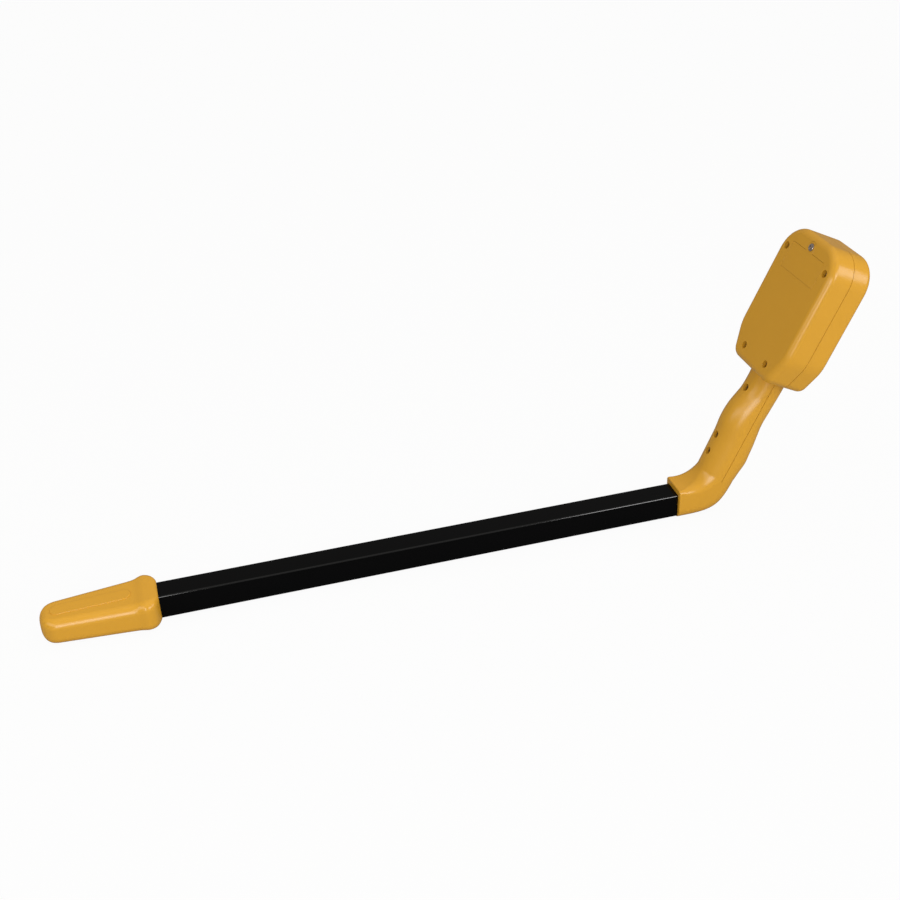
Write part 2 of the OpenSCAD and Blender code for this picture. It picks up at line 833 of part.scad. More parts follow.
module volume_pot() {
    pins_from = panel_in + pot_t - over;
    color(slate) at_head() difference() {
        union() {
            post(knob_s, 0, panel_in, panel_in + pot_t, pot_r);
            post(knob_s, 0, -head_front - bushing_proud, panel_in + over, bushing_r);
            for (y = [-pot_pin_pitch, 0, pot_pin_pitch]) {
                translate([knob_s + pot_pin_out, y - pot_pin[1] / 2, pins_from]) {
                    cube([pot_pin[0], pot_pin[1], board_n - board_t - pins_from]);
                }
            }
        }
        post(knob_s, 0, -head_front - bushing_proud - over, panel_in + pot_t - pot_back, shaft_r + run_gap);
    }
}
module pot_nut() {
    color(steel) at_head() translate([knob_s, 0, -head_front - nut_t]) difference() {
        cylinder(d = nut_flats / cos(30), h = nut_t, $fn = 6);
        translate([0, 0, -over]) cylinder(r = bushing_r + run_gap, h = nut_t + 2 * over);
    }
}
module volume_shaft() {
    color(steel) at_head() {
        post(knob_s, 0, knob_cap - head_front - knob_h,
            panel_in + pot_t - pot_back - shaft_end_gap, shaft_r);
    }
}
module volume_knob() {
    top = -head_front - knob_h;
    foot = -head_front - knob_lift;
    color(black) at_head() difference() {
        union() {
            post(knob_s, 0, top, foot - knob_skirt, knob_d / 2 - knob_step);
            post(knob_s, 0, foot - knob_skirt, foot, knob_d / 2);
        }
        post(knob_s, 0, foot - knob_hollow_d, foot + over, knob_hollow_r);
        post(knob_s, 0, top + knob_cap, foot, shaft_r + run_gap);
        for (k = [0:flutes - 1]) translate([knob_s, 0, 0]) rotate(360 * k / flutes) {
            post(knob_d / 2 - flute_in, 0, top - over, foot - knob_skirt - flute_in, flute_r);
        }
        block(
            [knob_s + pointer_in, -pointer[0] / 2, top - over],
            [knob_s + knob_d / 2 - 2 * pointer[0], pointer[0] / 2, top + pointer[1]]
        );
    }
}
module button_switches() {
    back = board_n - board_t;
    face = back - switch_h;
    color(charcoal) at_head() for (y = [-button_y, button_y]) difference() {
        block([knob_s - switch_half, y - switch_half, face], [knob_s + switch_half, y + switch_half, back]);
        post(knob_s, y, face - over, face + stem_in + button_travel + stem_gap, stem_r + stem_gap);
    }
}
module gain_button(y) {
    lip = panel_in + lip_gap;
    post(knob_s, y, -head_front - button_proud, lip + over, button_d / 2);
    post(knob_s, y, lip, lip + button_lip_t, button_d / 2 + button_lip);
    post(knob_s, y, lip, board_n - board_t - switch_h + stem_in, stem_r);
}
module gain_up_button() {
    color(steel) at_head() gain_button(button_y);
}
module gain_down_button() {
    color(steel) at_head() gain_button(-button_y);
}

module wand_tube() {
    color(black) at_wand() difference() {
        square_bar(flange_t - boot_grip, tube_end, tube_w, tube_round);
        square_bar(-boot_grip, tube_end + over, tube_w - 2 * tube_wall, bore_round);
        bar(pin_x, 0, -tube_w, tube_w, pin_r + run_gap);
    }
}
module tube_pin() {
    color(steel) at_wand() bar(pin_x, 0, -pin_half, pin_half, pin_r);
}

// Boot sections: X, half width and top; the underside is cut flat at the table
function boot_section(x, half, top, edge, lift) =
    [x, 0, 0, top, lift - rest_h - trim, half, min(edge, half - 0.5), min(edge, half - 0.5)];
function neck_half(x) = blend(boot_w, boot_tip_w, (-x - collar_l) / (boot_l - tip_round - collar_l)) / 2;
function neck_top(x) = boot_top - boot_drop * (-x - collar_l) / (boot_l - tip_round - collar_l);
function collar_sections() =
    [for (c = collar_bead) boot_section(c[0], boot_w / 2 + c[1], boot_top + c[2], boot_edge, 0)];
function body_sections() = [for (k = [1:4]) let (
    x = blend(bead_end, tip_round - boot_l, k / 4)
) boot_section(x, neck_half(x), neck_top(x), boot_edge, 0)];
function tip_sections() = [for (a = [15:15:90]) let (
    x = tip_round - boot_l - tip_round * sin(a),
    nose = boot_edge * (1 - cos(asin(max(0, (-x - boot_l + boot_edge) / boot_edge))))
) boot_section(
    x, boot_tip_w / 2 - tip_round * (1 - cos(a)),
    neck_top(x) - nose_drop * nose, boot_edge - nose_edge * nose, nose
)];
module boot() {
    slope = atan(boot_drop / (boot_l - tip_round - collar_l));
    color(yellow) at_wand() difference() {
        union() {
            skin([for (q = concat(collar_sections(), body_sections(), tip_sections())) section_ring(q)]);
            translate([crest_x, 0, neck_top(crest_x)]) rotate([0, -slope, 0]) {
                translate([0, 0, -crest_sunk]) linear_extrude(crest_sunk + crest_rise) {
                    rounded(crest_l, crest_w, crest_w / 2 - tube_fit);
                }
            }
        }
        below_table();
        square_bar(-boot_grip, over, tube_w + 2 * tube_fit, tube_round);
        bar_x(coil_tip, over - boot_grip, 0, 0, coil_bore_r);
    }
}
module coil_former() {
    color(ivory) at_wand() difference() {
        union() {
            square_bar(-boot_grip, flange_t - boot_grip, tube_w, tube_round);
            bar_x(coil_tip, over - boot_grip, 0, 0, core_r);
            bar_x(coil_tip, coil_tip + flange_t, 0, 0, coil_bore_r - coil_fit);
        }
        bar_x(coil_tip + rod_seat, over - boot_grip, 0, 0, rod_r + run_gap);
    }
}
module antenna_coil() {
    color(copper) at_wand() difference() {
        bar_x(coil_tip + flange_t, -boot_grip, 0, 0, winding_r);
        bar_x(coil_tip, 0, 0, 0, core_r);
    }
}
module ferrite_rod() {
    color(charcoal) at_wand() bar_x(coil_tip + rod_seat, over - boot_grip, 0, 0, rod_r);
}
module antenna_lead() {
    start = flange_t - boot_grip;
    tube_path = [for (k = [0:10]) [blend(start, pin_x - lead_ahead, k / 10), 0, lead_z]];
    grip_path = [
        [pin_x, 0, lead_z], [pin_x + lead_ahead - 4.5, plug_y / 4, lead_z],
        in_head(centre_s - lead_cross[0], 0.6 * plug_y, lead_z / 2),
        in_head(centre_s - lead_cross[1], plug_y, lead_z / 6),
        in_head(centre_s + lead_ahead, plug_y, 0), in_head(0.5 * handle_l, plug_y, 0),
        in_head(0.75 * handle_l, plug_y, 0), in_head(handle_l, plug_y, 0),
        in_head(handle_l + lead_ahead, plug_y, 0),
        in_head(blend(handle_l, board_lo, 0.5), plug_y, -lead_z / 3),
        in_head(board_lo - 2 * plug_half, plug_y, plug_n), in_head(board_lo + plug_grip, plug_y, plug_n),
    ];
    color(charcoal) at_wand() lead(concat(tube_path, grip_path), lead_r);
}

rear_shell();
front_shell();
case_screws();
handle_screws();
battery_door();
door_screw();
door_insert();
door_pad();
battery();
battery_snap();
battery_leads();
circuit_board();
board_screws();
board_parts();
lead_plug();
display_module();
display_lens();
panel_overlay();
speaker_frame();
speaker_cone();
speaker_magnet();
speaker_leads();
volume_pot();
pot_nut();
volume_shaft();
volume_knob();
button_switches();
gain_up_button();
gain_down_button();
wand_tube();
tube_pin();
boot();
coil_former();
antenna_coil();
ferrite_rod();
antenna_lead();
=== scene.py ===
"""Looks of a hand-held cable locator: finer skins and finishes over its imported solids."""
import json
from math import acos, atan2, ceil, copysign, cos, hypot, pi, radians, sin, sqrt

import bmesh
import bpy
from bpy.props import FloatProperty, FloatVectorProperty, PointerProperty
from mathutils import Matrix, Vector


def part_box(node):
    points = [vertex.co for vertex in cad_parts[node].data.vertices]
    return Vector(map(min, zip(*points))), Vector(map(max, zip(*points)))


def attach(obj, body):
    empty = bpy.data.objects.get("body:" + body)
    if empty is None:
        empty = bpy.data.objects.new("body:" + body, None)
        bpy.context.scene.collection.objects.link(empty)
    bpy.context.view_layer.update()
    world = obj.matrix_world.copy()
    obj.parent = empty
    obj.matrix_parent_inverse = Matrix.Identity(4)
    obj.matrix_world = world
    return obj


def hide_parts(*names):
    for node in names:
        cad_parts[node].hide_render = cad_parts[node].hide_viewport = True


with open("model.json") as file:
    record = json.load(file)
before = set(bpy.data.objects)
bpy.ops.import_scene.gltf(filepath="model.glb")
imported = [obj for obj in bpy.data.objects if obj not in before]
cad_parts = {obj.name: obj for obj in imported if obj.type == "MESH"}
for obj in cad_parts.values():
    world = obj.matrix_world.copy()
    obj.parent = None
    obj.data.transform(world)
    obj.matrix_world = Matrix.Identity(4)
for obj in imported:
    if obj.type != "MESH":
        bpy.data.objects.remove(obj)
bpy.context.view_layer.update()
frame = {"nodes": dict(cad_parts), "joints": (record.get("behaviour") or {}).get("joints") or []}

bl_info = {
    "name": "Cable locator",
    "version": (1, 0, 0),
    "blender": (4, 5, 0),
    "location": "3D View > Sidebar > Locator",
    "description": "Builds the looks of a hand-held cable locator over its packed solids",
    "category": "Object",
}

MM = 0.001

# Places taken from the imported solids: the boot's mouth on the tube's axis, and the bend past the tube's end
TUBE_TO_BEND = 6.5
TUBE_LOW, TUBE_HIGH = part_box("wand_tube")
AXIS_Z = (TUBE_LOW.z + TUBE_HIGH.z) / 2
MOUTH = Vector((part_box("boot")[1].x, 0, AXIS_Z))
BEND = Vector((TUBE_HIGH.x + TUBE_TO_BEND * MM, 0, AXIS_Z))
# In mm: the bend past the mouth, the tube's axis over the table, and half the tube's side
BEND_X = (BEND.x - MOUTH.x) / MM
REST = AXIS_Z / MM
TUBE_HALF = (TUBE_HIGH.z - TUBE_LOW.z) / MM / 2

# Directions of the handle: along it, and from the panel towards the back of the head
NORMAL = Vector(next(j for j in frame["joints"] if j["name"] == "volume_turn")["axis"]).normalized()
ALONG = Vector((NORMAL.z, 0, -NORMAL.x))
SIDE = Vector((0, 1, 0))
TILT = atan2(-NORMAL.x, NORMAL.z)
# Pieces are worked in the head's frame, in which its faces are level, and then set in place
HEAD_FRAME = Matrix.Translation(BEND) @ Matrix((ALONG, SIDE, NORMAL)).transposed().to_4x4()
TO_HEAD = HEAD_FRAME.inverted()

# Lengths from here to the camera are in mm
# Grip outline: share of the handle's length, then distance from the parting plane
GRIP_REAR = (
    (0.19, 19.2), (0.40, 20.0), (0.50, 20.6), (0.59, 22.2), (0.69, 21.3),
    (0.75, 19.3), (0.81, 16.8), (0.90, 14.4), (1.00, 15.0), (1.10, 16.0),
)
GRIP_FRONT = (
    (0.19, 19.7), (0.28, 21.2), (0.35, 22.9), (0.42, 21.8), (0.48, 21.2),
    (0.57, 19.3), (0.66, 17.7), (0.76, 18.3), (0.92, 19.4), (1.10, 19.6),
)
# Corners of the grip: in front, then behind, with how far these may pass the parting plane, and their power
GRIP_ROUND = 16
SHOULDER_ROUND, SHOULDER_PAST, SHOULDER_POWER = 18, 2, 1.7
# Rings along the grip and round the bend
GRIP_STEPS, BEND_STEPS = 64, 30
# Socket section: top over the tube's axis, half width, upper and lower corners
SOCKET = (TUBE_HALF + 6.3, TUBE_HALF + 4.3, 3.5, 12)
# From the bend to the socket's mouth, rounding of its edge, and what the table trims off an underside
SOCKET_REACH, SOCKET_EDGE, TRIM = 32.7, 1.0, 0.3
# The bend's section planes turn about a line behind the elbow: inner radius, and power that squares the heel
BEND_R, HEEL = 28, 7
# Place of that line: over the tube's axis, behind the parting plane, along the handle and along the wand
TURN_Z = SOCKET[0] + BEND_R
TURN_N = GRIP_REAR[0][1] + BEND_R
TURN_S = (TURN_Z - TURN_N * cos(TILT)) / sin(TILT)
TURN_X = BEND_X + TURN_S * cos(TILT) - TURN_N * sin(TILT)
# Reach of the outside from that line, at the socket and at the grip
OUTER_LOW = TURN_Z + REST + TRIM
OUTER_HIGH = TURN_N + GRIP_FRONT[0][1]
# Boot collar: distance from the mouth, gain in half width, gain in height and lift of the underside
COLLAR_BEAD = (
    (-23.5, 0, 0, 0), (-20, 0.5, 0.6, 0), (-17, 1.3, 1.5, 0), (-13, 2.1, 2.3, 0), (-9, 1.4, 2.3, 0),
    (-5, -1.2, 2, 0.3), (-2.4, -5, 1.4, 1.2), (-0.8, -8.6, 0.6, 2.2), (0, -11, -0.4, 3),
)
# Radii of the head's outline at the crown, the flank and the chin, and the places of flank and chin
CROWN_R, FLANK_R, CHIN_R = 30, 38, 12.6
FLANK_UP, CHIN_IN = 38.4, 21.5
# How far the grip runs into the head, as skin and as hollow, and the share of the bend that stays solid
SKIN_LAP, HOLLOW_LAP, SOLID_BEND = 11, 13, 0.3
# Parting line: where it starts above the elbow, and the share of the bend that it leaves out
LINE_START, LINE_BEND = 26, 0.4
# Past the head's top, past every side of it, and past the whole locator
ABOVE, BESIDE, FAR = 10, 80, 400
# How far bosses and rims end under the skin, and how far a cut runs past what it cuts
UNDER_SKIN, PAST = 1, 1
# Case screws, from the head's top or chin and from its side, and handle screws as shares of its length
UPPER_SCREWS, LOWER_SCREWS = (24.4, 12.2), (15, 27.2)
GRIP_SCREWS = (0.861, 0.468, 0.337)
# Depths of their wells, radii of shank, pilot hole and passage, and where pilot hole and tip end in front
CASE_WELL, GRIP_WELL = 6, 5
SHANK_R, PILOT_R, PASSAGE_R = 1.5, 1.55, 1.7
PILOT_END, TIP_END = 5, 6
# Battery door: its lower edge under the head's top, and its latch over its upper edge
DOOR_DROP, LATCH_UP = 44.3, 5
# Pocket of the door: ledge round the battery well, rim behind the ledge and wall of the well
LEDGE_LOW, LEDGE_HIGH, LEDGE_SIDE = 3.2, 2.4, 2
POCKET_RIM, WELL_WALL = 3.2, 1.6
# Under the back face: foot of the pocket's rim, and top of the well's wall
RIM_FOOT, WELL_TOP = 5.5, 4.5
# Thickness of the door's pad and of the battery
PAD_T, BATTERY_T = 1.9, 26.5
# Latch: its boss and the hole for its insert, each as a radius and a depth under the door's floor
LATCH_BOSS, LATCH_HOLE = (8.6, 7.6), (2.65, 6)
# Latch screw: its seat under the back face, and its tip under the door's floor
LATCH_SEAT, LATCH_TIP = 0.95, 2.6
# Hinge: radius of a pin and how far it stands out of the door, then the same of its hole
HINGE_PIN, HINGE_HOLE = (0.7, 1.7), (0.75, 2)
# Room round the hinge's bar, and how far the pocket's lower edge lies under the hinge's line
BAR_PLAY, POCKET_UNDER = 0.15, 0.42
# Gap for the battery's leads in the wall of the well: sideways and in height
LEAD_SIDE, LEAD_RISE = (18.7, 24.7), (4, 9)
# Square bore round the tube: play across, play at the tube's end, and corner
TUBE_PLAY, END_PLAY, BORE_ROUND = 0.2, 0.1, 1.5
# Panel: window and its corner, then thickness and corner of the film and the play round it
WINDOW, WINDOW_ROUND = (26, 44), 2
FILM_T, FILM_ROUND, FILM_PLAY = 0.5, 14, 0.05
# Speaker slots: pitch, width, corner, half length of the middle one, and by how much each next one is shorter
SLOT_PITCH, SLOT_W, SLOT_ROUND, SLOT_HALF, SLOT_LESS = 5, 2.4, 1.19, 16, 2
# Slots on each side of the middle one, and the hole for the bush of the volume control
SLOTS_BESIDE, BUSH_R = 2, 3.55

# Camera: sensor and focal length in mm, turn in radians and place in metres
SENSOR, FOCAL = 36, 54.68
YAW, PITCH, ROLL = 0.2400, 0.5440, -0.0535
EYE = (-0.271594, -1.09557, 0.80617)
# Lamps: azimuth and elevation in degrees, distance, width and height in metres, power in watts, and target
LAMPS = (
    ("key_light", 45, 19, 1.7, (1.58, 0.55), 10.1, (0.33, 0, 0.18)),
    ("edge_light", 21, 22, 1.95, (0.36, 0.9), 5.6, (0.19, 0, 0.03)),
    ("front_light", -14, 18, 1.9, (0.8, 0.8), 9.7, (-0.25, 0, 0.03)),
    ("left_light", -58, 24, 1.7, (1.7, 0.5), 5.2, (0.33, 0, 0.12)),
)
# Overhead light: azimuth and elevation in degrees, and strength
TOP_LIGHT = ("top_light", 100, 70, 1.2)
# Floor: half its side, and how far it lies under the table's level, in metres
FLOOR_REACH, FLOOR_GAP = 20, 0.0005


def length_prop(name, description, default):
    """A length that a user can change, in metres."""
    return FloatProperty(name=name, description=description, default=default, unit="LENGTH")


def colour_prop(name, description, default):
    """A colour that a user can change, as linear values."""
    return FloatVectorProperty(name=name, description=description, default=default, subtype="COLOR")


class LocatorSizes(bpy.types.PropertyGroup):
    """Lengths of the casing, the boot and the controls."""

    handle_l: length_prop("Handle length", "From the bend to the head", 0.1454)
    handle_w: length_prop("Handle width", "Width of the grip", 0.040)
    head_l: length_prop("Head length", "From the handle to the top", 0.1448)
    head_w: length_prop("Head width", "Across the head", 0.0994)
    head_rear: length_prop("Back face", "From the parting plane", 0.025)
    head_front: length_prop("Panel face", "From the parting plane", 0.0232)
    head_round: length_prop("Head edge", "Rounding of both faces", 0.007)
    wall: length_prop("Wall", "Wall of both shells", 0.0026)
    groove_w: length_prop("Parting line width", "Across the line", 0.0005)
    groove_d: length_prop("Parting line depth", "Into the skin", 0.0012)
    door_w: length_prop("Door width", "Across the battery door", 0.0614)
    door_h: length_prop("Door height", "Without its tab", 0.0275)
    door_t: length_prop("Door thickness", "Plate of the door", 0.0024)
    seam: length_prop("Door gap", "Gap round the door", 0.0002)
    well_r: length_prop("Screw well", "Radius of a well", 0.00375)
    boss_r: length_prop("Screw boss", "Radius of a boss", 0.0046)
    tube_wall: length_prop("Tube wall", "Wall of the tube", 0.0016)
    tube_round: length_prop("Tube corner", "Outer corner", 0.0015)
    boot_l: length_prop("Boot length", "From mouth to tip", 0.1115)
    boot_w: length_prop("Boot width", "Behind the collar", 0.053)
    boot_tip_w: length_prop("Boot tip width", "Before the tip rounds", 0.042)
    knob_d: length_prop("Knob diameter", "Across the skirt", 0.024)
    knob_h: length_prop("Knob height", "Over the panel", 0.012)
    button_d: length_prop("Button diameter", "Of a gain button", 0.010)


class LocatorColours(bpy.types.PropertyGroup):
    """Colours of the finishes, as linear values."""

    shell: colour_prop("Shell", "Moulded shells and boot", (0.60, 0.300, 0.024))
    tube: colour_prop("Tube", "Gloss wand tube", (0.0012, 0.0012, 0.0013))
    # The steel's warm brown is a painted reflection of the shaded yellow wells round the screws
    steel: colour_prop("Steel", "Plated screws", (0.34, 0.25, 0.14))
    nickel: colour_prop("Nickel", "Bright latch screw", (0.60, 0.52, 0.46))
    brass: colour_prop("Brass", "Threaded insert", (0.55, 0.35, 0.08))
    copper: colour_prop("Copper", "Winding", (0.42, 0.12, 0.04))
    black: colour_prop("Black plastic", "Knob and snap", (0.010, 0.010, 0.011))
    grey: colour_prop("Grey rubber", "Buttons", (0.16, 0.165, 0.17))
    film: colour_prop("Panel film", "Film on the panel", (0.016, 0.017, 0.019))
    mark: colour_prop("Marks", "Printed marks", (0.70, 0.69, 0.66))
    board: colour_prop("Board", "Solder mask", (0.008, 0.09, 0.03))
    ivory: colour_prop("Ivory plastic", "Former and plug", (0.70, 0.67, 0.56))
    floor: colour_prop("Floor", "Studio floor", (0.52, 0.52, 0.51))


def mm(name):
    """One of the sizes, in mm."""
    return getattr(bpy.context.scene.locator_sizes, name) / MM


def colour(name):
    """One of the colours."""
    return tuple(getattr(bpy.context.scene.locator_colours, name))


def in_wand(x, y, z):
    """Point of the head's frame for a place in mm from the boot's mouth, on the tube's axis."""
    return TO_HEAD @ (MOUTH + MM * Vector((x, y, z)))


def in_head(s, y, n):
    """Point of the head's frame for a place in mm: along the handle from the bend, sideways and backwards."""
    return MM * Vector((s, y, n))


def head_top():
    """Distance of the head's top from the bend, in mm."""
    return mm("handle_l") + mm("head_l")


def mix(a, b, t):
    """The value a share t of the way from a to b."""
    return a + (b - a) * t


def eased(table, f, column=1):
    """Value of a table at f, on a smooth curve through its rows."""
    f = min(max(f, table[0][0]), table[-1][0])
    last = len(table) - 1
    k = next(i for i in range(last) if f <= table[i + 1][0])

    def slope(i):
        a, b = table[max(i - 1, 0)], table[min(i + 1, last)]
        return (b[column] - a[column]) / (b[0] - a[0])

    h = table[k + 1][0] - table[k][0]
    t = (f - table[k][0]) / h
    ends = mix(table[k][column], table[k + 1][column], t * t * (3 - 2 * t))
    return ends + h * t * (1 - t) * ((1 - t) * slope(k) - t * slope(k + 1))


def reach(table, s):
    """Reach of the grip at s, with its table smoothed over a short way."""
    f, near = s / mm("handle_l"), 0.03
    return (eased(table, f - near) + 2 * eased(table, f) + eased(table, f + near)) / 4


def quarter(steps, start=0):
    """Angles of a quarter turn in equal steps, from start in degrees."""
    return [radians(start + 90 * k / steps) for k in range(steps + 1)]


def full_turn(steps):
    """Angles of a full turn in equal steps."""
    return [2 * pi * k / steps for k in range(steps)]


def corner(y, n, r, start, steps=10, power=2):
    """Points of a quarter round from the angle start in degrees. A power under 2 flattens its shoulder."""

    def bent(v):
        return copysign(abs(v) ** (2 / power), v)

    return [(y + r * bent(cos(a)), n + r * bent(sin(a))) for a in quarter(steps, start)]


def section(x, z, tilt, rear, front, half, rear_r, front_r, power=2):
    """Ring of a rounded section whose plane stands at x, z and leans by tilt. The table cuts it flat."""
    steps = 12
    outline = corner(half - rear_r, rear - rear_r, rear_r, 0, steps, power)
    outline += corner(rear_r - half, rear - rear_r, rear_r, 90, steps, power)
    outline += corner(front_r - half, front + front_r, front_r, 180)
    outline += corner(half - front_r, front + front_r, front_r, 270)
    return [in_wand(x - n * sin(tilt), y, max(z + n * cos(tilt), -REST)) for y, n in outline]


def bend_ring(a, inset):
    """Ring of the bend at the angle a."""
    t = a / TILT
    outer = ((cos(a) / OUTER_LOW) ** HEEL + (cos(TILT - a) / OUTER_HIGH) ** HEEL) ** (-1 / HEEL)
    return section(
        TURN_X, TURN_Z, a, -BEND_R - inset, inset - outer, mix(SOCKET[1], mm("handle_w") / 2, t) - inset,
        max(mix(SOCKET[2], SHOULDER_ROUND, t) - inset, 1), mix(SOCKET[3], GRIP_ROUND, t) - inset,
        mix(2, SHOULDER_POWER, t),
    )


def grip_ring(s, inset):
    """Ring of the straight grip at s."""
    rear = reach(GRIP_REAR, s)
    return section(
        BEND_X + s * cos(TILT), s * sin(TILT), TILT, rear - inset, inset - reach(GRIP_FRONT, s),
        mm("handle_w") / 2 - inset, min(SHOULDER_ROUND, rear + SHOULDER_PAST) - inset, GRIP_ROUND - inset,
        SHOULDER_POWER,
    )


def grip_rings(inset, lap, share):
    """Rings from lap inside the head down to the elbow, as far as a share of the bend."""
    top, last = mm("handle_l") + lap, round(BEND_STEPS * share)
    rings = [grip_ring(mix(top, TURN_S, i / GRIP_STEPS), inset) for i in range(GRIP_STEPS)]
    return rings + [bend_ring(TILT * i / BEND_STEPS, inset) for i in range(BEND_STEPS, last - 1, -1)]


def mouth_rings(r):
    """Rings of the socket's end, whose edge is rounded."""
    rings = []
    for a in quarter(5):
        inset = r * (1 - cos(a))
        rings.append(section(
            BEND_X - SOCKET_REACH + r * (1 - sin(a)), 0, 0, SOCKET[0] - inset, inset - REST - TRIM,
            SOCKET[1] - inset, SOCKET[2] - inset, SOCKET[3] - inset,
        ))
    return rings


def head_outline(inset):
    """Outline of the head: three discs on each side and their common tangents."""
    top, low, half = head_top(), mm("handle_l"), mm("head_w") / 2
    discs = (
        (top - CROWN_R, half - CROWN_R, CROWN_R),
        (low + FLANK_UP, half - FLANK_R, FLANK_R),
        (low + CHIN_R, half - CHIN_IN, CHIN_R),
    )
    turns = [0]
    for a, b in zip(discs, discs[1:]):
        along = atan2(b[1] - a[1], b[0] - a[0]) % (2 * pi)
        turns.append(along - acos((a[2] - b[2]) / hypot(b[0] - a[0], b[1] - a[1])))
    turns.append(pi)
    side, facet, fewest = [], radians(6), 4
    for (s, y, r), start, end in zip(discs, turns, turns[1:]):
        steps = max(fewest, ceil((end - start) / facet))
        angles = [mix(start, end, k / steps) for k in range(steps + 1)]
        side += [(s + (r - inset) * cos(a), y + (r - inset) * sin(a)) for a in angles]
    return side + [(s, -y) for s, y in reversed(side)]


def head_form(inset):
    """The head with both faces rounded at the edge, drawn in by inset."""
    f = mm("head_round") - inset
    front, rear = mm("head_front") - inset, mm("head_rear") - inset
    turn = quarter(9)
    levels = [(f - f * sin(a), -front + f - f * cos(a)) for a in turn]
    levels += [(f - f * cos(a), rear - f + f * sin(a)) for a in turn]
    return loft([[in_head(s, y, n) for s, y in head_outline(inset + g)] for g, n in levels])


def loft(rings, closed=False):
    """A skin over rings of points, capped at both ends or closed into a loop of rings."""
    n, count = len(rings[0]), len(rings)
    faces = []
    for i in range(count if closed else count - 1):
        a, b = i * n, (i + 1) % count * n
        faces += [(a + j, a + (j + 1) % n, b + (j + 1) % n, b + j) for j in range(n)]
    if not closed:
        faces += [tuple(range(n)), tuple(range((count - 1) * n, count * n))]
    mesh = bpy.data.meshes.new("skin")
    mesh.from_pydata([p[:] for ring in rings for p in ring], [], faces)
    work = bmesh.new()
    work.from_mesh(mesh)
    bmesh.ops.remove_doubles(work, verts=work.verts, dist=1e-7)
    bmesh.ops.recalc_face_normals(work, faces=work.faces)
    work.to_mesh(mesh)
    work.free()
    skin = bpy.data.objects.new("skin", mesh)
    bpy.context.scene.collection.objects.link(skin)
    return skin


def turned(s, y, profile, steps=48):
    """A round piece about a line through s, y in the head, from rows of radius and height."""
    angles = full_turn(steps)
    return loft([[in_head(s + r * cos(a), y + r * sin(a), n) for a in angles] for r, n in profile])


def post(s, y, low, high, r):
    """A round post in the head."""
    return turned(s, y, ((r, low), (r, high)))


def bar(s, n, start, end, r, steps=32):
    """A round bar across the head."""
    angles = full_turn(steps)
    return loft([[in_head(s + r * cos(a), y, n + r * sin(a)) for a in angles] for y in (start, end)])


def plate(outline, levels):
    """Layers of an outline in the head: each level has the growth of the outline and its height."""
    return loft([[in_head(s, y, n) for s, y in outline(grow)] for grow, n in levels])


def block(low, high):
    """A block in the head from one corner to the other."""
    (s0, y0, n0), (s1, y1, n1) = low, high
    return plate(lambda grow: ((s0, y0), (s1, y0), (s1, y1), (s0, y1)), ((0, n0), (0, n1)))


def rounded(mid, size, r, steps=8):
    """Outline of a rounded rectangle, as a function of its growth."""

    def outline(grow):
        a, b, c = size[0] / 2 + grow, size[1] / 2 + grow, max(r + grow, 0.01)
        points = []
        for u, v, start in ((1, 1, 0), (-1, 1, 90), (-1, -1, 180), (1, -1, 270)):
            points += corner(u * (a - c), v * (b - c), c, start, steps)
        return [(mid[0] + s, mid[1] + y) for s, y in points]

    return outline


def square_ring(x, side, r):
    """Ring of a square section with round corners, across the wand."""
    return [in_wand(x, y, z) for y, z in rounded((0, 0), (side, side), r)(0)]


def tube_bore(start, end):
    """Square bore that takes the tube, from one place along the wand to another."""
    return loft([square_ring(x, 2 * TUBE_HALF + TUBE_PLAY, BORE_ROUND) for x in (start, end)])


def discard(piece):
    """Takes a working piece away."""
    mesh = piece.data
    bpy.data.objects.remove(piece)
    bpy.data.meshes.remove(mesh)


def joined(pieces):
    """Several working pieces, which don't touch, as one."""
    work = bmesh.new()
    for piece in pieces:
        work.from_mesh(piece.data)
    for piece in pieces[1:]:
        discard(piece)
    work.to_mesh(pieces[0].data)
    work.free()
    return pieces[0]


def flattened(mesh):
    """Joins the faces of each flat stretch, which a cut leaves in thin strips."""
    work = bmesh.new()
    work.from_mesh(mesh)
    bmesh.ops.dissolve_limit(work, angle_limit=radians(0.05), verts=work.verts, edges=work.edges)
    work.to_mesh(mesh)
    work.free()


def solve(piece, operation, *tools):
    """Joins, cuts or meets a piece with each of the tools, which are used up."""
    for tool in tools:
        change = piece.modifiers.new("Solid", "BOOLEAN")
        change.operation, change.solver, change.object = operation, "MANIFOLD", tool
        made = bpy.data.meshes.new_from_object(piece.evaluated_get(bpy.context.evaluated_depsgraph_get()))
        if not made.polygons:
            raise RuntimeError(f"nothing is left of {piece.name} after {operation}")
        flattened(made)
        piece.modifiers.clear()
        old, piece.data = piece.data, made
        bpy.data.meshes.remove(old)
        discard(tool)
    return piece


def show(piece, name, body, slot, material, *nodes, angle=30):
    """Names and finishes a piece, gives it its body and hides the solids that it stands for. Its slot is not
    used.
    """
    piece.name = piece.data.name = name
    piece.data.transform(HEAD_FRAME)
    piece.data.shade_smooth()
    piece.data.set_sharp_from_angle(angle=radians(angle))
    even = piece.modifiers.new("Even shading", "WEIGHTED_NORMAL")
    even.keep_sharp = True
    piece.data.materials.clear()
    piece.data.materials.append(material)
    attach(piece, body)
    if nodes:
        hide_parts(*nodes)


def dress(material, slot, *nodes):
    """Finishes solids that are shown as they are."""
    for node in nodes:
        piece = frame["nodes"][node]
        piece.data.materials.clear()
        piece.data.materials.append(material)


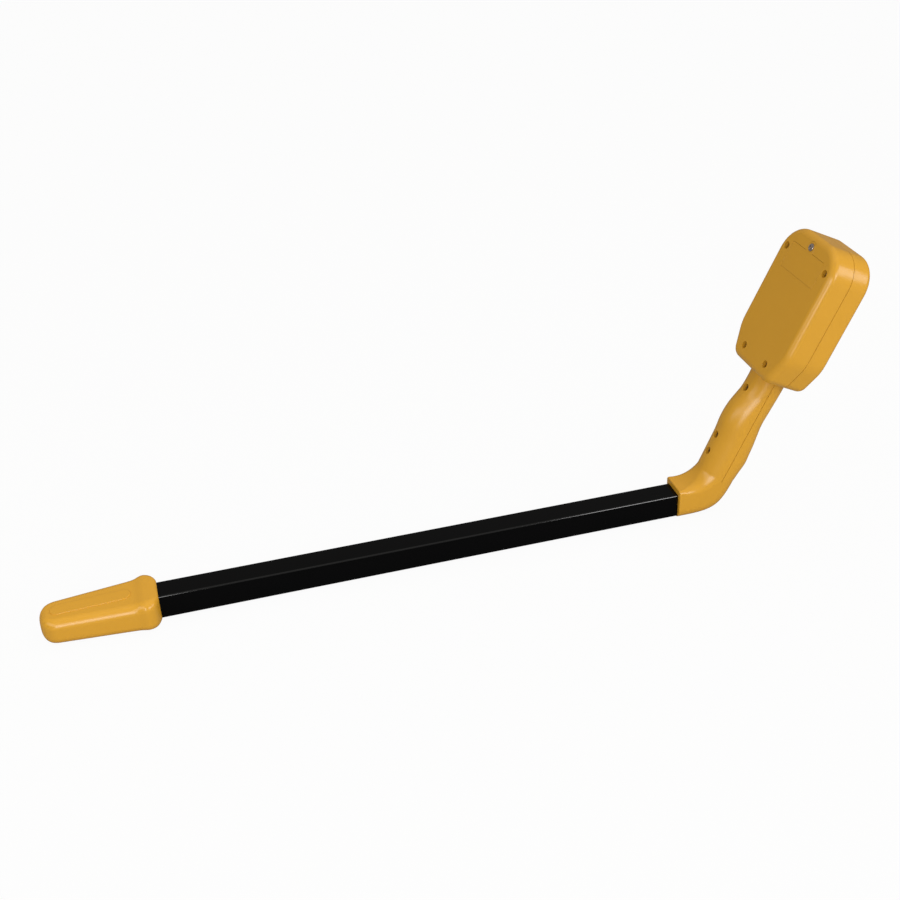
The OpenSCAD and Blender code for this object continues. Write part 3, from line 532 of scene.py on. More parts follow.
def finish(name, tint, rough, metal=0.0, drift=0.06, grain=900, relief=0.05, specular=0.5):
    """A finish whose colour and gloss drift a little over a fine grain. Each name is made only once."""
    if name in bpy.data.materials:
        return bpy.data.materials[name]
    material = bpy.data.materials.new(name)
    material.use_nodes = True
    tree = material.node_tree
    shader = tree.nodes["Principled BSDF"]
    shader.inputs["Metallic"].default_value = metal
    shader.inputs["Specular IOR Level"].default_value = specular
    spot = tree.nodes.new("ShaderNodeTexCoord")
    patch_scale, smear_scale, smear, grain_deep = 28, 60, 0.15, 0.0002

    def noise(scale, detail):
        pattern = tree.nodes.new("ShaderNodeTexNoise")
        pattern.inputs["Scale"].default_value = scale
        pattern.inputs["Detail"].default_value = detail
        tree.links.new(spot.outputs["Object"], pattern.inputs["Vector"])
        return pattern.outputs["Fac"]

    def spread(source, low, high):
        band = tree.nodes.new("ShaderNodeMapRange")
        band.inputs["To Min"].default_value = low
        band.inputs["To Max"].default_value = high
        tree.links.new(source, band.inputs["Value"])
        return band.outputs["Result"]

    shade = tree.nodes.new("ShaderNodeMix")
    shade.data_type = "RGBA"
    shade.inputs[6].default_value = (*[c * (1 - drift) for c in tint], 1)
    shade.inputs[7].default_value = (*[c * (1 + drift) for c in tint], 1)
    tree.links.new(noise(patch_scale, 4), shade.inputs[0])
    tree.links.new(shade.outputs[2], shader.inputs["Base Color"])
    gloss = spread(noise(smear_scale, 3), rough * (1 - smear), rough * (1 + smear))
    tree.links.new(gloss, shader.inputs["Roughness"])
    bump = tree.nodes.new("ShaderNodeBump")
    bump.inputs["Strength"].default_value = relief
    bump.inputs["Distance"].default_value = grain_deep
    tree.links.new(noise(grain, 2), bump.inputs["Height"])
    tree.links.new(bump.outputs["Normal"], shader.inputs["Normal"])
    return material


def shell_finish():
    """Yellow moulded plastic with a soft gloss."""
    return finish("shell_plastic", colour("shell"), 0.24, drift=0.025, grain=1500, relief=0.02)


def steel_finish():
    """Steel, a little dull, tinted warm brown: the tint is a painted reflection of the shaded yellow wells
    round the screws.
    """
    return finish("plated_steel", colour("steel"), 0.34, metal=1, drift=0.10, grain=2600, relief=0.08)


def black_finish():
    """Black plastic with a fine matt texture."""
    return finish("black_plastic", colour("black"), 0.48, drift=0.12, grain=3200, relief=0.18, specular=0.4)


def mark_finish():
    """Pale printed marks."""
    return finish("printed_mark", colour("mark"), 0.5, drift=0.04, grain=2400, relief=0.05)


def screw_spots():
    """Case screws, then handle screws: place along the handle, sideways, height of the skin, well depth."""
    top, low, half, rear = head_top(), mm("handle_l"), mm("head_w") / 2, mm("head_rear")
    rows = (
        (top - UPPER_SCREWS[0], half - UPPER_SCREWS[1]),
        (low + LOWER_SCREWS[0], half - LOWER_SCREWS[1]),
    )
    case = [(s, y * side, rear, CASE_WELL) for s, y in rows for side in (1, -1)]
    grip = [(f * low, 0, reach(GRIP_REAR, f * low), GRIP_WELL) for f in GRIP_SCREWS]
    return case, grip


def door_places():
    """Lower and upper edge of the door, its floor, the hinge line and the latch."""
    low = head_top() - DOOR_DROP
    high, floor = low + mm("door_h"), mm("head_rear") - mm("door_t")
    return low, high, floor, (low + mm("door_t") / 2, floor + mm("door_t") / 2), high + LATCH_UP


def door_outline(start):
    """Outline of the door and its tab from a lower edge at start, as a function of its growth."""
    _, high, _, _, latch = door_places()
    half, edge, tab, fillet = mm("door_w") / 2, 3, 6, 1.4

    def outline(grow):
        side = [(start - grow, half + grow)]
        side += [(s, y) for y, s in corner(half - edge, high - edge, edge + grow, 0, 6)]
        r = fillet - grow
        turn = quarter(6)
        side += [(high + fillet - r * cos(a), tab + fillet - r * sin(a)) for a in turn]
        side += [(latch + (tab + grow) * sin(a), (tab + grow) * cos(a)) for a in turn]
        return side + [(s, -y) for s, y in reversed(side[:-1])]

    return outline


def casing():
    """Both shells in one: outer skin less the cavity."""
    form = loft(grip_rings(0, SKIN_LAP, 0) + mouth_rings(SOCKET_EDGE))
    solve(form, "UNION", head_form(0))
    hollow = loft(grip_rings(mm("wall"), HOLLOW_LAP, SOLID_BEND))
    return solve(form, "DIFFERENCE", hollow, head_form(mm("wall")))


def parting_line():
    """The shallow line where the shells meet, from above the elbow round the head."""
    half, deep = mm("groove_w") / 2, mm("groove_d")
    band = block((LINE_START, -BESIDE, -half), (head_top() + ABOVE, BESIDE, half))
    return solve(band, "DIFFERENCE", loft(grip_rings(deep, HOLLOW_LAP, LINE_BEND)), head_form(deep))


class LOCATOR_OT_stage(bpy.types.Operator):
    """Camera, floor and soft studio light"""

    bl_idname = "locator.stage"
    bl_label = "Stage"

    def execute(self, context):
        scene = context.scene
        scene.view_settings.view_transform = "Standard"
        self.camera(scene)
        self.floor(scene)
        for lamp in LAMPS:
            self.lamp(scene, *lamp)
        self.sun(scene, *TOP_LIGHT)
        self.room(scene)
        return {"FINISHED"}

    def camera(self, scene):
        """The camera, with its yaw from straight ahead, its pitch downwards and its roll."""
        lens = bpy.data.cameras.new("camera")
        lens.sensor_width, lens.lens = SENSOR, FOCAL
        camera = bpy.data.objects.new("camera", lens)
        scene.collection.objects.link(camera)
        ahead = Vector((sin(YAW) * cos(PITCH), cos(YAW) * cos(PITCH), -sin(PITCH)))
        level = Vector((cos(YAW), -sin(YAW), 0))
        upright = level.cross(ahead)
        right, up = cos(ROLL) * level + sin(ROLL) * upright, cos(ROLL) * upright - sin(ROLL) * level
        turn = Matrix((right, up, -ahead)).transposed()
        camera.matrix_world = Matrix.Translation(EYE) @ turn.to_4x4()
        scene.camera = camera

    def room(self, scene):
        """Soft light from all round, brighter overhead, which the camera sees as plain white."""
        world = bpy.data.worlds.new("studio")
        scene.world = world
        world.use_nodes = True
        tree = world.node_tree
        air = tree.nodes["Background"]
        air.inputs["Color"].default_value = (1, 0.97, 0.93, 1)
        way = tree.nodes.new("ShaderNodeTexCoord")
        parts = tree.nodes.new("ShaderNodeSeparateXYZ")
        rise = tree.nodes.new("ShaderNodeMapRange")
        for socket, value in (("From Max", 0.5), ("To Min", 0.16), ("To Max", 0.55)):
            rise.inputs[socket].default_value = value
        tree.links.new(way.outputs["Generated"], parts.inputs["Vector"])
        tree.links.new(parts.outputs["Z"], rise.inputs["Value"])
        tree.links.new(rise.outputs["Result"], air.inputs["Strength"])
        white = tree.nodes.new("ShaderNodeBackground")
        white.inputs["Color"].default_value = (0.973, 0.973, 0.973, 1)
        self.shown_white(tree, air, white, tree.nodes["World Output"], camera=1, mirrored=0.7, dim=0.08)

    def shown_white(self, tree, lit, white, output, camera, mirrored, dim):
        """Mixes a share of plain white into what the camera sees, and of a dimmer white into what mirrors."""
        ray = tree.nodes.new("ShaderNodeLightPath")

        def added(kind, part, base):
            term = tree.nodes.new("ShaderNodeMath")
            term.operation = "MULTIPLY_ADD"
            term.inputs[1].default_value = part
            tree.links.new(ray.outputs[kind], term.inputs[0])
            if isinstance(base, bpy.types.NodeSocket):
                tree.links.new(base, term.inputs[2])
            else:
                term.inputs[2].default_value = base
            return term.outputs[0]

        share = added("Is Camera Ray", camera, 0)
        for kind in ("Is Glossy Ray", "Is Transmission Ray"):
            share = added(kind, mirrored, share)
        tree.links.new(added("Is Camera Ray", 1 - dim, dim), white.inputs["Strength"])
        both = tree.nodes.new("ShaderNodeMixShader")
        tree.links.new(share, both.inputs[0])
        tree.links.new(lit.outputs[0], both.inputs[1])
        tree.links.new(white.outputs[0], both.inputs[2])
        tree.links.new(both.outputs[0], output.inputs["Surface"])

    def hang(self, scene, data, azimuth, elevation, distance, target):
        """Hangs a light that looks at a target. Azimuth 0 is in front, and 90 to the right."""
        lamp = bpy.data.objects.new(data.name, data)
        scene.collection.objects.link(lamp)
        a, e = radians(azimuth), radians(elevation)
        back = Vector((sin(a) * cos(e), -cos(a) * cos(e), sin(e)))
        lamp.location = target + distance * back
        lamp.rotation_euler = back.to_track_quat("Z", "Y").to_euler()
        return lamp

    def lamp(self, scene, name, azimuth, elevation, distance, size, power, target):
        """A soft oblong light of a width and a height."""
        data = bpy.data.lights.new(name, "AREA")
        data.shape = "RECTANGLE"
        data.size, data.size_y = size
        data.energy = power
        self.hang(scene, data, azimuth, elevation, distance, Vector(target))

    def sun(self, scene, name, azimuth, elevation, power):
        """Wide even light from above, which lights the whole floor alike."""
        data = bpy.data.lights.new(name, "SUN")
        data.angle, data.energy, away = radians(80), power, 2
        self.hang(scene, data, azimuth, elevation, away, Vector((0, 0, 0))).visible_glossy = False

    def floor(self, scene):
        """A pale floor that stays white for the camera and keeps a soft shadow."""
        mesh, far = bpy.data.meshes.new("floor"), FLOOR_REACH
        mesh.from_pydata([(-far, -far, 0), (far, -far, 0), (far, far, 0), (-far, far, 0)], [], [(0, 1, 2, 3)])
        floor = bpy.data.objects.new("floor", mesh)
        scene.collection.objects.link(floor)
        floor.location.z = -FLOOR_GAP
        material = bpy.data.materials.new("studio_floor")
        material.use_nodes = True
        tree = material.node_tree
        shader = tree.nodes["Principled BSDF"]
        shader.inputs["Base Color"].default_value = (*colour("floor"), 1)
        shader.inputs["Roughness"].default_value = 0.9
        glow = tree.nodes.new("ShaderNodeEmission")
        output = tree.nodes["Material Output"]
        self.shown_white(tree, shader, glow, output, camera=0.95, mirrored=0.85, dim=0.12)
        mesh.materials.append(material)


class LOCATOR_OT_rear_shell(bpy.types.Operator):
    """Back half of head, handle and socket"""

    bl_idname = "locator.rear_shell"
    bl_label = "Rear shell"

    def execute(self, context):
        case, grip = screw_spots()
        spots = case + grip
        low, high, floor, hinge, latch = door_places()
        rear, half, seam = mm("head_rear"), mm("door_w") / 2, mm("seam")
        s0, s1 = low + LEDGE_LOW, high - LEDGE_HIGH
        y0, y1 = LEDGE_SIDE - half, half - LEDGE_SIDE
        rim, wall, well_floor = POCKET_RIM, WELL_WALL, floor - PAD_T - BATTERY_T
        chamfer, lap = 0.1, 0.2
        shell = solve(casing(), "INTERSECT", block((-FAR, -FAR / 2, 0), (FAR, FAR / 2, FAR)))
        solve(
            shell, "UNION",
            joined([post(s, y, 0, skin - UNDER_SKIN, mm("boss_r")) for s, y, skin, _ in spots]),
            post(latch, 0, floor - LATCH_BOSS[1], floor + lap, LATCH_BOSS[0]),
            block((low - rim, -half - rim, rear - RIM_FOOT), (high + rim, half + rim, rear - UNDER_SKIN)),
            block((s0 - wall, y0 - wall, well_floor - wall), (s1 + wall, y1 + wall, rear - WELL_TOP)),
        )
        pocket = (
            (seam, floor), (seam, rear - chamfer), (seam + chamfer, rear), (seam + chamfer, rear + PAST),
        )
        gap_low, gap_high = zip(LEAD_SIDE, LEAD_RISE)
        lead_gap = block((s0 - 2 * wall, *gap_low), (s0 + PAST, *gap_high))
        solve(
            shell, "DIFFERENCE",
            tube_bore(BEND_X - SOCKET_REACH - PAST, BEND_X - (TUBE_TO_BEND - END_PLAY)),
            joined([post(s, y, -PAST, skin, PASSAGE_R) for s, y, skin, _ in spots]),
            joined([turned(s, y, self.well(skin, deep)) for s, y, skin, deep in spots]),
            plate(door_outline(hinge[0] - POCKET_UNDER), pocket),
            bar(*hinge, -half - seam, half + seam, mm("door_t") / 2 + BAR_PLAY),
            block((s0, y0, well_floor), (s1, y1, rear)),
            bar(*hinge, -half - HINGE_HOLE[1], half + HINGE_HOLE[1], HINGE_HOLE[0]),
            post(latch, 0, floor - LATCH_HOLE[1], rear, LATCH_HOLE[0]),
            lead_gap,
            parting_line(),
        )
        show(shell, "rear_shell_skin", "casing", "yellow_plastic", shell_finish(), "rear_shell")
        return {"FINISHED"}

    def well(self, skin, deep):
        """Profile of a screw's well from its floor to the skin, where its edge is rounded."""
        r, edge, middle, flare, above = mm("well_r"), 0.3, 0.08, 1.2, 5
        rim = ((r, skin - edge), (r + middle, skin - middle), (r + edge, skin), (r + flare, skin + above))
        return ((r, skin - deep), *rim)


class LOCATOR_OT_front_shell(bpy.types.Operator):
    """Front half of head and handle, with the panel's cut-outs"""

    bl_idname = "locator.front_shell"
    bl_label = "Front shell"

    def execute(self, context):
        case, grip = screw_spots()
        front = mm("head_front")
        out, inside = -front - PAST, mm("wall") - front + PAST
        spots = panel_places()
        feet = [(s, y, -front) for s, y, _, _ in case]
        feet += [(s, y, -reach(GRIP_FRONT, s)) for s, y, _, _ in grip]
        shell = solve(casing(), "INTERSECT", block((-FAR, -FAR / 2, -FAR), (FAR, FAR / 2, 0)))
        bosses = [post(s, y, foot + UNDER_SKIN, 0, mm("boss_r")) for s, y, foot in feet]
        solve(shell, "UNION", joined(bosses))
        # Rounded edge of a slot: growth and depth under the panel's face
        slots, flare, edge = [], 0.9, ((0.35, 0), (0.1, 0.15), (0, 0.4))
        levels = ((flare, out), *[(grow, deep - front) for grow, deep in edge], (0, inside))
        for k in range(-SLOTS_BESIDE, SLOTS_BESIDE + 1):
            size = (SLOT_W, 2 * (SLOT_HALF - SLOT_LESS * abs(k)))
            slots.append(plate(rounded((spots["speaker"] + SLOT_PITCH * k, 0), size, SLOT_ROUND), levels))
        button_r = mm("button_d") / 2 + mm("seam")
        holes = [plate(spots["window"], ((0, out), (0, inside)))]
        holes += [post(spots["knob"], 0, out, inside, BUSH_R)]
        holes += [post(spots["knob"], y, out, inside, button_r) for y in spots["buttons"]]
        solve(
            shell, "DIFFERENCE",
            joined([post(s, y, foot + PILOT_END, PAST, PILOT_R) for s, y, foot in feet]),
            joined(slots),
            plate(spots["overlay"], ((FILM_PLAY, out), (FILM_PLAY, FILM_T - front))),
            joined(holes),
            parting_line(),
        )
        show(shell, "front_shell_skin", "casing", "yellow_plastic", shell_finish(), "front_shell")
        return {"FINISHED"}


def panel_places():
    """Places on the panel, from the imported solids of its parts."""

    def middle(node):
        low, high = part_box(node)
        return ((low + high) / 2 - BEND).dot(ALONG) / MM

    up, down = (sum(p.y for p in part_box(n)) / 2 / MM for n in ("gain_up_button", "gain_down_button"))
    low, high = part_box("panel_overlay")
    film_l = ((high.z - low.z) / MM - FILM_T * NORMAL.z) / ALONG.z
    film_w = 2 * (high.y / MM)
    return {
        "speaker": middle("speaker_frame"),
        "knob": middle("pot_nut"),
        "buttons": (up, down),
        "window": rounded((middle("display_lens"), 0), WINDOW, WINDOW_ROUND),
        "overlay": rounded((middle("panel_overlay"), 0), (film_l, film_w), FILM_ROUND, 12),
    }


class LOCATOR_OT_battery_door(bpy.types.Operator):
    """Battery door with its tab, hinge bar and pins"""

    bl_idname = "locator.battery_door"
    bl_label = "Battery door"

    def execute(self, context):
        _, _, floor, hinge, latch = door_places()
        rear, half = mm("head_rear"), mm("door_w") / 2
        # Rounded edge of the door: growth and depth under the back face
        edge = ((0, 0.35), (-0.04, 0.1), (-0.15, 0))
        door = plate(door_outline(hinge[0]), ((0, floor), *[(grow, rear - deep) for grow, deep in edge]))
        bar_less = 0.02
        solve(
            door, "UNION",
            bar(*hinge, -half, half, mm("door_t") / 2 - bar_less),
            bar(*hinge, -half - HINGE_PIN[1], half + HINGE_PIN[1], HINGE_PIN[0]),
        )
        r, deep, chamfer = 4, 1, 0.25
        screw_seat = (
            (r, rear - deep), (r, rear - chamfer), (r + chamfer, rear), (r + 2 * chamfer, rear + PAST),
        )
        solve(door, "DIFFERENCE", post(latch, 0, floor - PAST, rear, PILOT_R), turned(latch, 0, screw_seat))
        show(door, "battery_door_skin", "door", "yellow_plastic", shell_finish(), "battery_door")
        return {"FINISHED"}


def screw(s, y, seat, tip, head_r, head_h, reach_r, width, deep):
    """A screw with a rounded head and a cross recess."""
    top, edge, dome, point_r, taper = seat + head_h, 0.55, 0.08, 0.9, 0.8
    profile = [(point_r, tip), (SHANK_R, tip + taper), (SHANK_R, seat), (head_r, seat)]
    for a in quarter(3):
        profile.append((head_r - edge * (1 - cos(a)), top - edge * (1 - sin(a))))
    profile.append((head_r / 2, top + dome))
    piece = turned(s, y, profile)
    a, b = reach_r, width / 2
    cross = [(a, b), (b, b), (b, a), (-b, a), (-b, b), (-a, b)]
    cross += [(-u, -v) for u, v in cross]
    turn = [(s + (u - v) * sqrt(0.5), y + (u + v) * sqrt(0.5)) for u, v in cross]
    return solve(piece, "DIFFERENCE", plate(lambda grow: turn, ((0, top - deep), (0, top + PAST))))


class LOCATOR_OT_screws(bpy.types.Operator):
    """Case and handle screws in their wells, and the bright latch screw of the door"""

    bl_idname = "locator.screws"
    bl_label = "Screws"

    def execute(self, context):
        case, grip = screw_spots()
        for spots, name in ((case, "case_screws"), (grip, "handle_screws")):
            pieces = []
            for s, y, skin, deep in spots:
                front = mm("head_front") if name == "case_screws" else reach(GRIP_FRONT, s)
                seat, tip = skin - deep, TIP_END - front
                pieces.append(screw(s, y, seat, tip, head_r=3, head_h=2.3, reach_r=2, width=1, deep=1.2))
            show(joined(pieces), name + "_bright", "casing", "steel", steel_finish(), name)
        _, _, floor, _, latch = door_places()
        seat, tip, nickel = mm("head_rear") - LATCH_SEAT, floor - LATCH_TIP, colour("nickel")
        bright = finish("bright_nickel", nickel, 0.16, metal=0.82, drift=0.05, grain=2000, relief=0.03)
        head = screw(latch, 0, seat, tip, head_r=3.7, head_h=1.77, reach_r=2.4, width=1, deep=0.8)
        show(head, "door_screw_bright", "latch", "bright_steel", bright, "door_screw")
        return {"FINISHED"}


class LOCATOR_OT_wand_tube(bpy.types.Operator):
    """Square wand tube with its rounded edges"""

    bl_idname = "locator.wand_tube"
    bl_label = "Wand tube"

    def execute(self, context):
        side, r = 2 * TUBE_HALF, mm("tube_round")
        start, end = (TUBE_LOW.x - MOUTH.x) / MM, (TUBE_HIGH.x - MOUTH.x) / MM
        bore, bore_r, steps = side - 2 * mm("tube_wall"), 0.6, 24
        rings = [square_ring(mix(start, end, k / steps), side, r) for k in range(steps + 1)]
        rings += [square_ring(end, bore, bore_r), square_ring(start, bore, bore_r)]
        gloss = finish("tube_gloss", colour("tube"), 0.12, drift=0.2, grain=700, relief=0.02, specular=0.11)
        tube = loft(rings, closed=True)
        show(tube, "wand_tube_skin", "casing", "black_tube", gloss, "wand_tube")
        edge = finish("tube_edge", colour("tube"), 0.08, drift=0.2, grain=700, relief=0.02, specular=1)
        tube.data.materials.append(edge)
        # Only the faces of the round edges lean both ways
        lean = 0.1
        for face in tube.data.polygons:
            face.material_index = int(abs(face.normal.y) > lean and abs(face.normal.z) > lean)
        return {"FINISHED"}


class LOCATOR_OT_boot(bpy.types.Operator):
    """Sensing boot with its collar bead and raised crest"""

    bl_idname = "locator.boot"
    bl_label = "Boot"

    def execute(self, context):
        length, wide, tip = mm("boot_l"), mm("boot_w"), mm("boot_tip_w")
        # Top over the tube, corner, length of nose and collar, fall of the top to the nose, and least flat
        over, edge, nose_l, collar, fall, flat = 1.8, 9, 17, 22, 3, 0.5
        top, span, bead = TUBE_HALF + over, length - nose_l - collar, COLLAR_BEAD[0][0]
        bead_steps, crowding, neck_steps, nose_steps = 48, 1.3, 12, 24
        # For each mm of lift: corner lost at the collar, then height and corner lost at the nose
        tuck, droop, narrowing = 1.6, 0.75, 0.45

        def neck(x):
            t = (-x - collar) / span
            return mix(wide, tip, t) / 2, top - fall * t

        def ring(x, half, height, r, lift):
            r = min(r, half - flat)
            return section(x, 0, 0, height, lift - REST - TRIM, half, r, r)

        rings = []
        for k in range(bead_steps + 1):
            x = bead * (k / bead_steps) ** crowding
            gain, rise, lift = (eased(COLLAR_BEAD, x, column) for column in (1, 2, 3))
            rings.append(ring(x, wide / 2 + gain, top + rise, edge - tuck * lift, lift))
        for k in range(1, neck_steps + 1):
            x = mix(bead, nose_l - length, k / neck_steps)
            rings.append(ring(x, *neck(x), edge, 0))
        for a in quarter(nose_steps)[1:]:
            x = nose_l - length - nose_l * sin(a)
            dip = max(0, (-x - length + edge) / edge)
            nose = edge * (1 - sqrt(max(0, 1 - dip * dip)))
            half, height = tip / 2 - nose_l * (1 - cos(a)), neck(x)[1] - droop * nose
            rings.append(ring(x, half, height, edge - narrowing * nose, nose))
        boot = loft(rings)

        crest_start, crest_end, crest_w, crest_flat = 25, 10.5, 15, 0.1
        crest_l = length - (crest_start + crest_end)
        middle = -crest_start - crest_l / 2
        height, slope = neck(middle)[1], fall / span

        def lifted(x, y, z):
            return in_wand(x, y, height + (x - middle) * slope + z)

        outline = rounded((middle, 0), (crest_l, crest_w), crest_w / 2 - crest_flat, 14)
        # Rounded edge of the crest: growth and height over the boot
        levels = ((0, -3), (0, 0.25), (-0.1, 0.55), (-0.3, 0.73), (-0.6, 0.8))
        solve(boot, "UNION", loft([[lifted(x, y, z) for x, y in outline(grow)] for grow, z in levels]))
        bore_deep, coil_r, coil_end = 30, 9.5, 15
        circle = [(coil_r * cos(a), coil_r * sin(a)) for a in full_turn(48)]
        coil_ends = (coil_end - length, PAST - bore_deep)
        coil_room = loft([[in_wand(x, y, z) for y, z in circle] for x in coil_ends])
        solve(boot, "DIFFERENCE", tube_bore(-bore_deep, PAST), coil_room)
        show(boot, "boot_skin", "casing", "yellow_plastic", shell_finish(), "boot", angle=34)
        return {"FINISHED"}


class LOCATOR_OT_panel(bpy.types.Operator):
    """Panel film, window, display and the marks round the knob"""

    bl_idname = "locator.panel"
    bl_label = "Panel"

    def execute(self, context):
        film = finish("panel_film", colour("film"), 0.42, drift=0.08, grain=3600, relief=0.10, specular=0.35)
        dress(film, "panel_film", "panel_overlay")
        glass = finish("clear_lens", (0.92, 0.95, 0.95), 0.04, drift=0.01, grain=300, relief=0.01)
        glass.node_tree.nodes["Principled BSDF"].inputs["Transmission Weight"].default_value = 1
        dress(glass, "clear_lens", "display_lens")
        display = finish("display_glass", (0.26, 0.31, 0.23), 0.2, drift=0.05, grain=1400, relief=0.02)
        dress(display, "display", "display_module")
        spot, front = panel_places()["knob"], mm("head_front")
        skirt, half, proud, sunk = mm("knob_d") / 2, 0.3, 0.04, 0.1
        gap, long_reach, short_reach = 1.4, 3.6, 2.8
        count, first, pitch, main_mark = 11, 240, 30, 5
        marks = []
        for k in range(count):
            a = radians(first - pitch * k)
            near, far = skirt + gap, skirt + (long_reach if k % main_mark == 0 else short_reach)
            line = [(near, -half), (far, -half), (far, half), (near, half)]
            outline = [(spot + u * sin(a) - v * cos(a), u * cos(a) + v * sin(a)) for u, v in line]
            marks.append(plate(lambda grow, o=outline: o, ((0, -front - proud), (0, sunk - front))))
        show(joined(marks), "dial_marks", "casing", "panel_film", mark_finish())
        return {"FINISHED"}


class LOCATOR_OT_volume_knob(bpy.types.Operator):
    """Fluted volume knob with its pointer, and its shaft and nut"""

    bl_idname = "locator.volume_knob"
    bl_label = "Volume knob"

    def execute(self, context):
        spot, front = panel_places()["knob"], mm("head_front")
        skirt, skirt_step, skirt_h, skirt_edge, gap = mm("knob_d") / 2, 1, 1.5, 0.3, 0.5
        body, bevel, top, foot = skirt - skirt_step, 1.2, -front - mm("knob_h"), -front - gap
        core, dish_r, rim_r, dish = 0.4, 6.2, 7, 0.35
        flute_end, flute_out = 2.3, 1.9
        room_r, room_h, bore_r, roof = 7, 4.2, 3.05, 2.5
        # Rows of the knob's profile: radius, height and share of the flutes' depth
        rows = [(core, top + dish, 0), (dish_r, top + dish, 0), (rim_r, top, 0)]
        for a in (0, 20, 40, 60, 90):
            turn = radians(a)
            rows.append((body - bevel + bevel * sin(turn), top + bevel - bevel * cos(turn), a / 90))
        rows += [(body, foot - flute_end, 1), (body, foot - flute_out, 0), (body, foot - skirt_h, 0)]
        rows += [(skirt - skirt_edge, foot - skirt_h, 0), (skirt, foot - (skirt_h - skirt_edge), 0)]
        rows += [(skirt, foot, 0), (room_r, foot, 0), (room_r, foot - room_h, 0)]
        rows += [(bore_r, foot - room_h, 0), (bore_r, top + roof, 0)]
        flutes, flute_steps, deep, width = 18, 12, 0.7, 0.7
        rings = []
        for r, n, cut in rows:
            ring = []
            for a in full_turn(flutes * flute_steps):
                groove = max(0, cos(flutes * a)) ** width * deep * cut
                ring.append(in_head(spot + (r - groove) * cos(a), (r - groove) * sin(a), n))
            rings.append(ring)
        show(loft(rings), "volume_knob_skin", "knob", "black_plastic", black_finish(), "volume_knob")
        line_mid, line_size, line_round = 6.4, (6, 1.1), 0.5
        # Rounded edge of the pointer: growth and height
        levels = ((0, top + 0.6), (0, top - 0.02), (-0.1, top - 0.06))
        line = plate(rounded((spot + line_mid, 0), line_size, line_round, 4), levels)
        show(line, "volume_pointer", "knob", "black_plastic", mark_finish())
        dress(steel_finish(), "steel", "volume_shaft", "pot_nut", "volume_pot")
        return {"FINISHED"}


class LOCATOR_OT_gain_buttons(bpy.types.Operator):
    """Two gain buttons with a raised plus and minus"""

    bl_idname = "locator.gain_buttons"
    bl_label = "Gain buttons"

    def execute(self, context):
        spots, front = panel_places(), mm("head_front")
        inner, r, edge, proud = mm("wall") - front, mm("button_d") / 2, 0.8, 2
        core, dish, dish_side, dish_in, rim_in = 0.3, 0.25, 0.2, 2.2, 1.2
        flange, flange_low, flange_high = 1.3, 0.3, 1.7
        stem_r, stem_end = 1.7, -14
        sign_l, sign_w, sign_round = 3.4, 0.7, 0.3
        rubber = finish("grey_rubber", colour("grey"), 0.55, drift=0.06, grain=2600, relief=0.12)
        for y, name, body in zip(spots["buttons"], ("gain_up", "gain_down"), ("up_button", "down_button")):
            s, face = spots["knob"], -front - proud
            profile = [(core, face + dish), (r - dish_in, face + dish_side), (r - rim_in, face)]
            for a in map(radians, (20, 45, 70, 90)):
                profile.append((r - edge + edge * sin(a), face + edge - edge * cos(a)))
            profile += [(r, inner + flange_low), (r + flange, inner + flange_low)]
            profile += [(r + flange, inner + flange_high), (stem_r, inner + flange_high), (stem_r, stem_end)]
            show(turned(s, y, profile), name + "_skin", body, "grey_rubber", rubber, name + "_button")
            # Rounded edge of a sign: growth and height
            levels = ((0, face + 0.5), (0, face + 0.06), (-0.08, face))
            sign = plate(rounded((s, y), (sign_w, sign_l), sign_round, 3), levels)
            if name == "gain_up":
                solve(sign, "UNION", plate(rounded((s, y), (sign_l, sign_w), sign_round, 3), levels))
            show(sign, name + "_sign", body, "grey_rubber", mark_finish())
        return {"FINISHED"}


class LOCATOR_OT_battery(bpy.types.Operator):
    """Battery, its snap and leads, the door's pad and the threaded insert"""

    bl_idname = "locator.battery"
    bl_label = "Battery"

    def execute(self, context):
        can = finish("battery_can", (0.018, 0.019, 0.022), 0.3, drift=0.2, grain=800, relief=0.03)
        dress(can, "battery_can", "battery")
        dress(black_finish(), "black_plastic", "battery_snap")
        dress(finish("red_lead", (0.32, 0.008, 0.008), 0.4, drift=0.08), "red_lead", "battery_leads")
        foam = finish("foam", (0.012, 0.012, 0.012), 0.9, drift=0.3, grain=1800, relief=0.7)
        dress(foam, "foam", "door_pad")
        dress(finish("brass", colour("brass"), 0.25, metal=1, grain=2200), "brass", "door_insert")
        return {"FINISHED"}


class LOCATOR_OT_electronics(bpy.types.Operator):
    """Circuit board, its parts, the speaker and the inner leads"""

    bl_idname = "locator.electronics"
    bl_label = "Electronics"

    def execute(self, context):
        board = finish("board", colour("board"), 0.28, drift=0.25, grain=420, relief=0.12)
        dress(board, "board", "circuit_board")
        dress(steel_finish(), "steel", "board_screws", "speaker_frame")
        dress(black_finish(), "black_plastic", "board_parts", "button_switches")
        ivory = finish("ivory_plastic", colour("ivory"), 0.45, drift=0.04, grain=1600)
        dress(ivory, "ivory_plastic", "lead_plug", "coil_former")
        paper = finish("cone_paper", (0.013, 0.013, 0.013), 0.8, drift=0.25, grain=1500, relief=0.5)
        dress(paper, "cone_paper", "speaker_cone")
        magnet = finish("magnet", (0.05, 0.05, 0.052), 0.5, metal=0.6, drift=0.15, relief=0.2)
        dress(magnet, "magnet", "speaker_magnet")
        dress(finish("blue_lead", (0.006, 0.008, 0.09), 0.4, drift=0.08), "blue_lead", "speaker_leads")
        return {"FINISHED"}


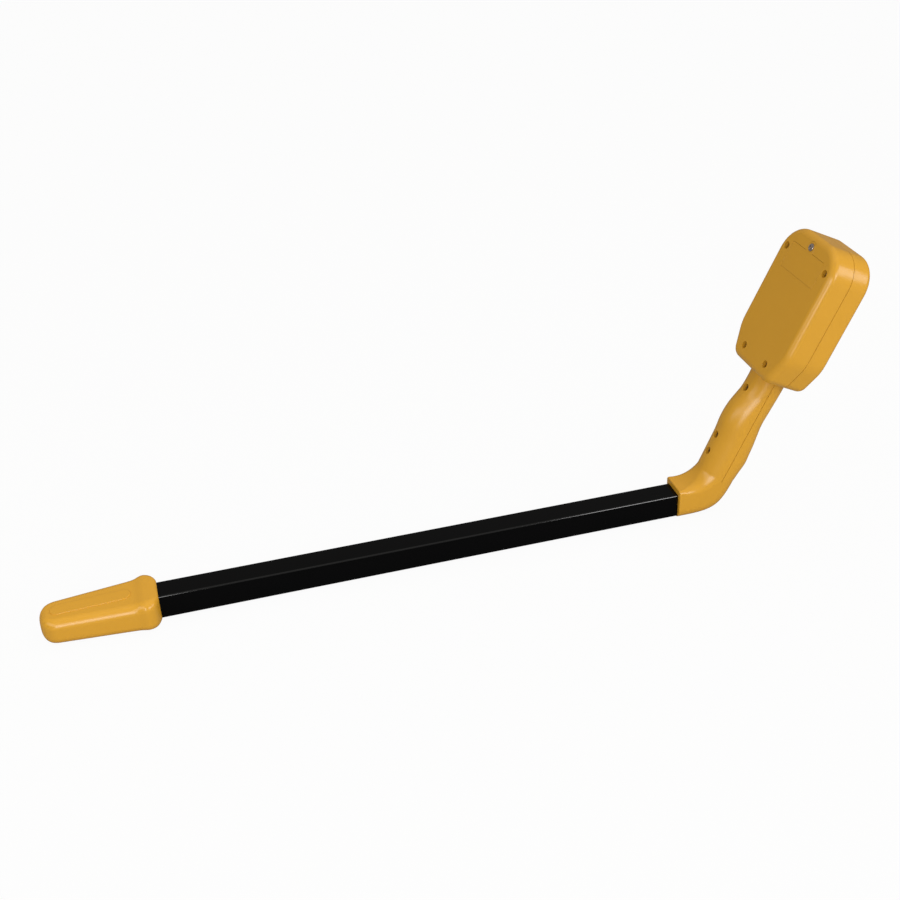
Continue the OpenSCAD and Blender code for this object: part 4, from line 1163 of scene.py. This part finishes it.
class LOCATOR_OT_antenna(bpy.types.Operator):
    """Sensing coil in the boot, its lead and the tube's cross pin"""

    bl_idname = "locator.antenna"
    bl_label = "Antenna"

    def execute(self, context):
        copper = colour("copper")
        winding = finish("copper_winding", copper, 0.3, metal=1, drift=0.12, grain=3000, relief=0.35)
        dress(winding, "copper", "antenna_coil")
        ferrite = finish("ferrite", (0.014, 0.013, 0.013), 0.6, drift=0.2, grain=1200, relief=0.3)
        dress(ferrite, "ferrite", "ferrite_rod")
        dress(finish("black_lead", (0.006, 0.006, 0.006), 0.45, drift=0.15), "black_lead", "antenna_lead")
        dress(steel_finish(), "steel", "tube_pin")
        return {"FINISHED"}


OPERATORS = (
    LOCATOR_OT_stage, LOCATOR_OT_rear_shell, LOCATOR_OT_front_shell, LOCATOR_OT_battery_door,
    LOCATOR_OT_screws, LOCATOR_OT_wand_tube, LOCATOR_OT_boot, LOCATOR_OT_panel, LOCATOR_OT_volume_knob,
    LOCATOR_OT_gain_buttons, LOCATOR_OT_battery, LOCATOR_OT_electronics, LOCATOR_OT_antenna,
)


class LOCATOR_PT_panel(bpy.types.Panel):
    """Sidebar panel with the sizes, the colours and one button for each group of pieces"""

    bl_idname = "LOCATOR_PT_panel"
    bl_label = "Cable locator"
    bl_space_type = "VIEW_3D"
    bl_region_type = "UI"
    bl_category = "Locator"

    def draw(self, context):
        for group in (context.scene.locator_sizes, context.scene.locator_colours):
            column = self.layout.column(align=True)
            for name in group.__annotations__:
                column.prop(group, name)
        for operator in OPERATORS:
            self.layout.operator(operator.bl_idname)


CLASSES = (LocatorSizes, LocatorColours, *OPERATORS, LOCATOR_PT_panel)


def register():
    for cls in CLASSES:
        bpy.utils.register_class(cls)
    bpy.types.Scene.locator_sizes = PointerProperty(type=LocatorSizes)
    bpy.types.Scene.locator_colours = PointerProperty(type=LocatorColours)


def unregister():
    del bpy.types.Scene.locator_colours
    del bpy.types.Scene.locator_sizes
    for cls in reversed(CLASSES):
        bpy.utils.unregister_class(cls)


def main():
    register()
    for operator in OPERATORS:
        getattr(bpy.ops.locator, operator.bl_idname.split(".")[1])()


if __name__ == "__main__":
    main()
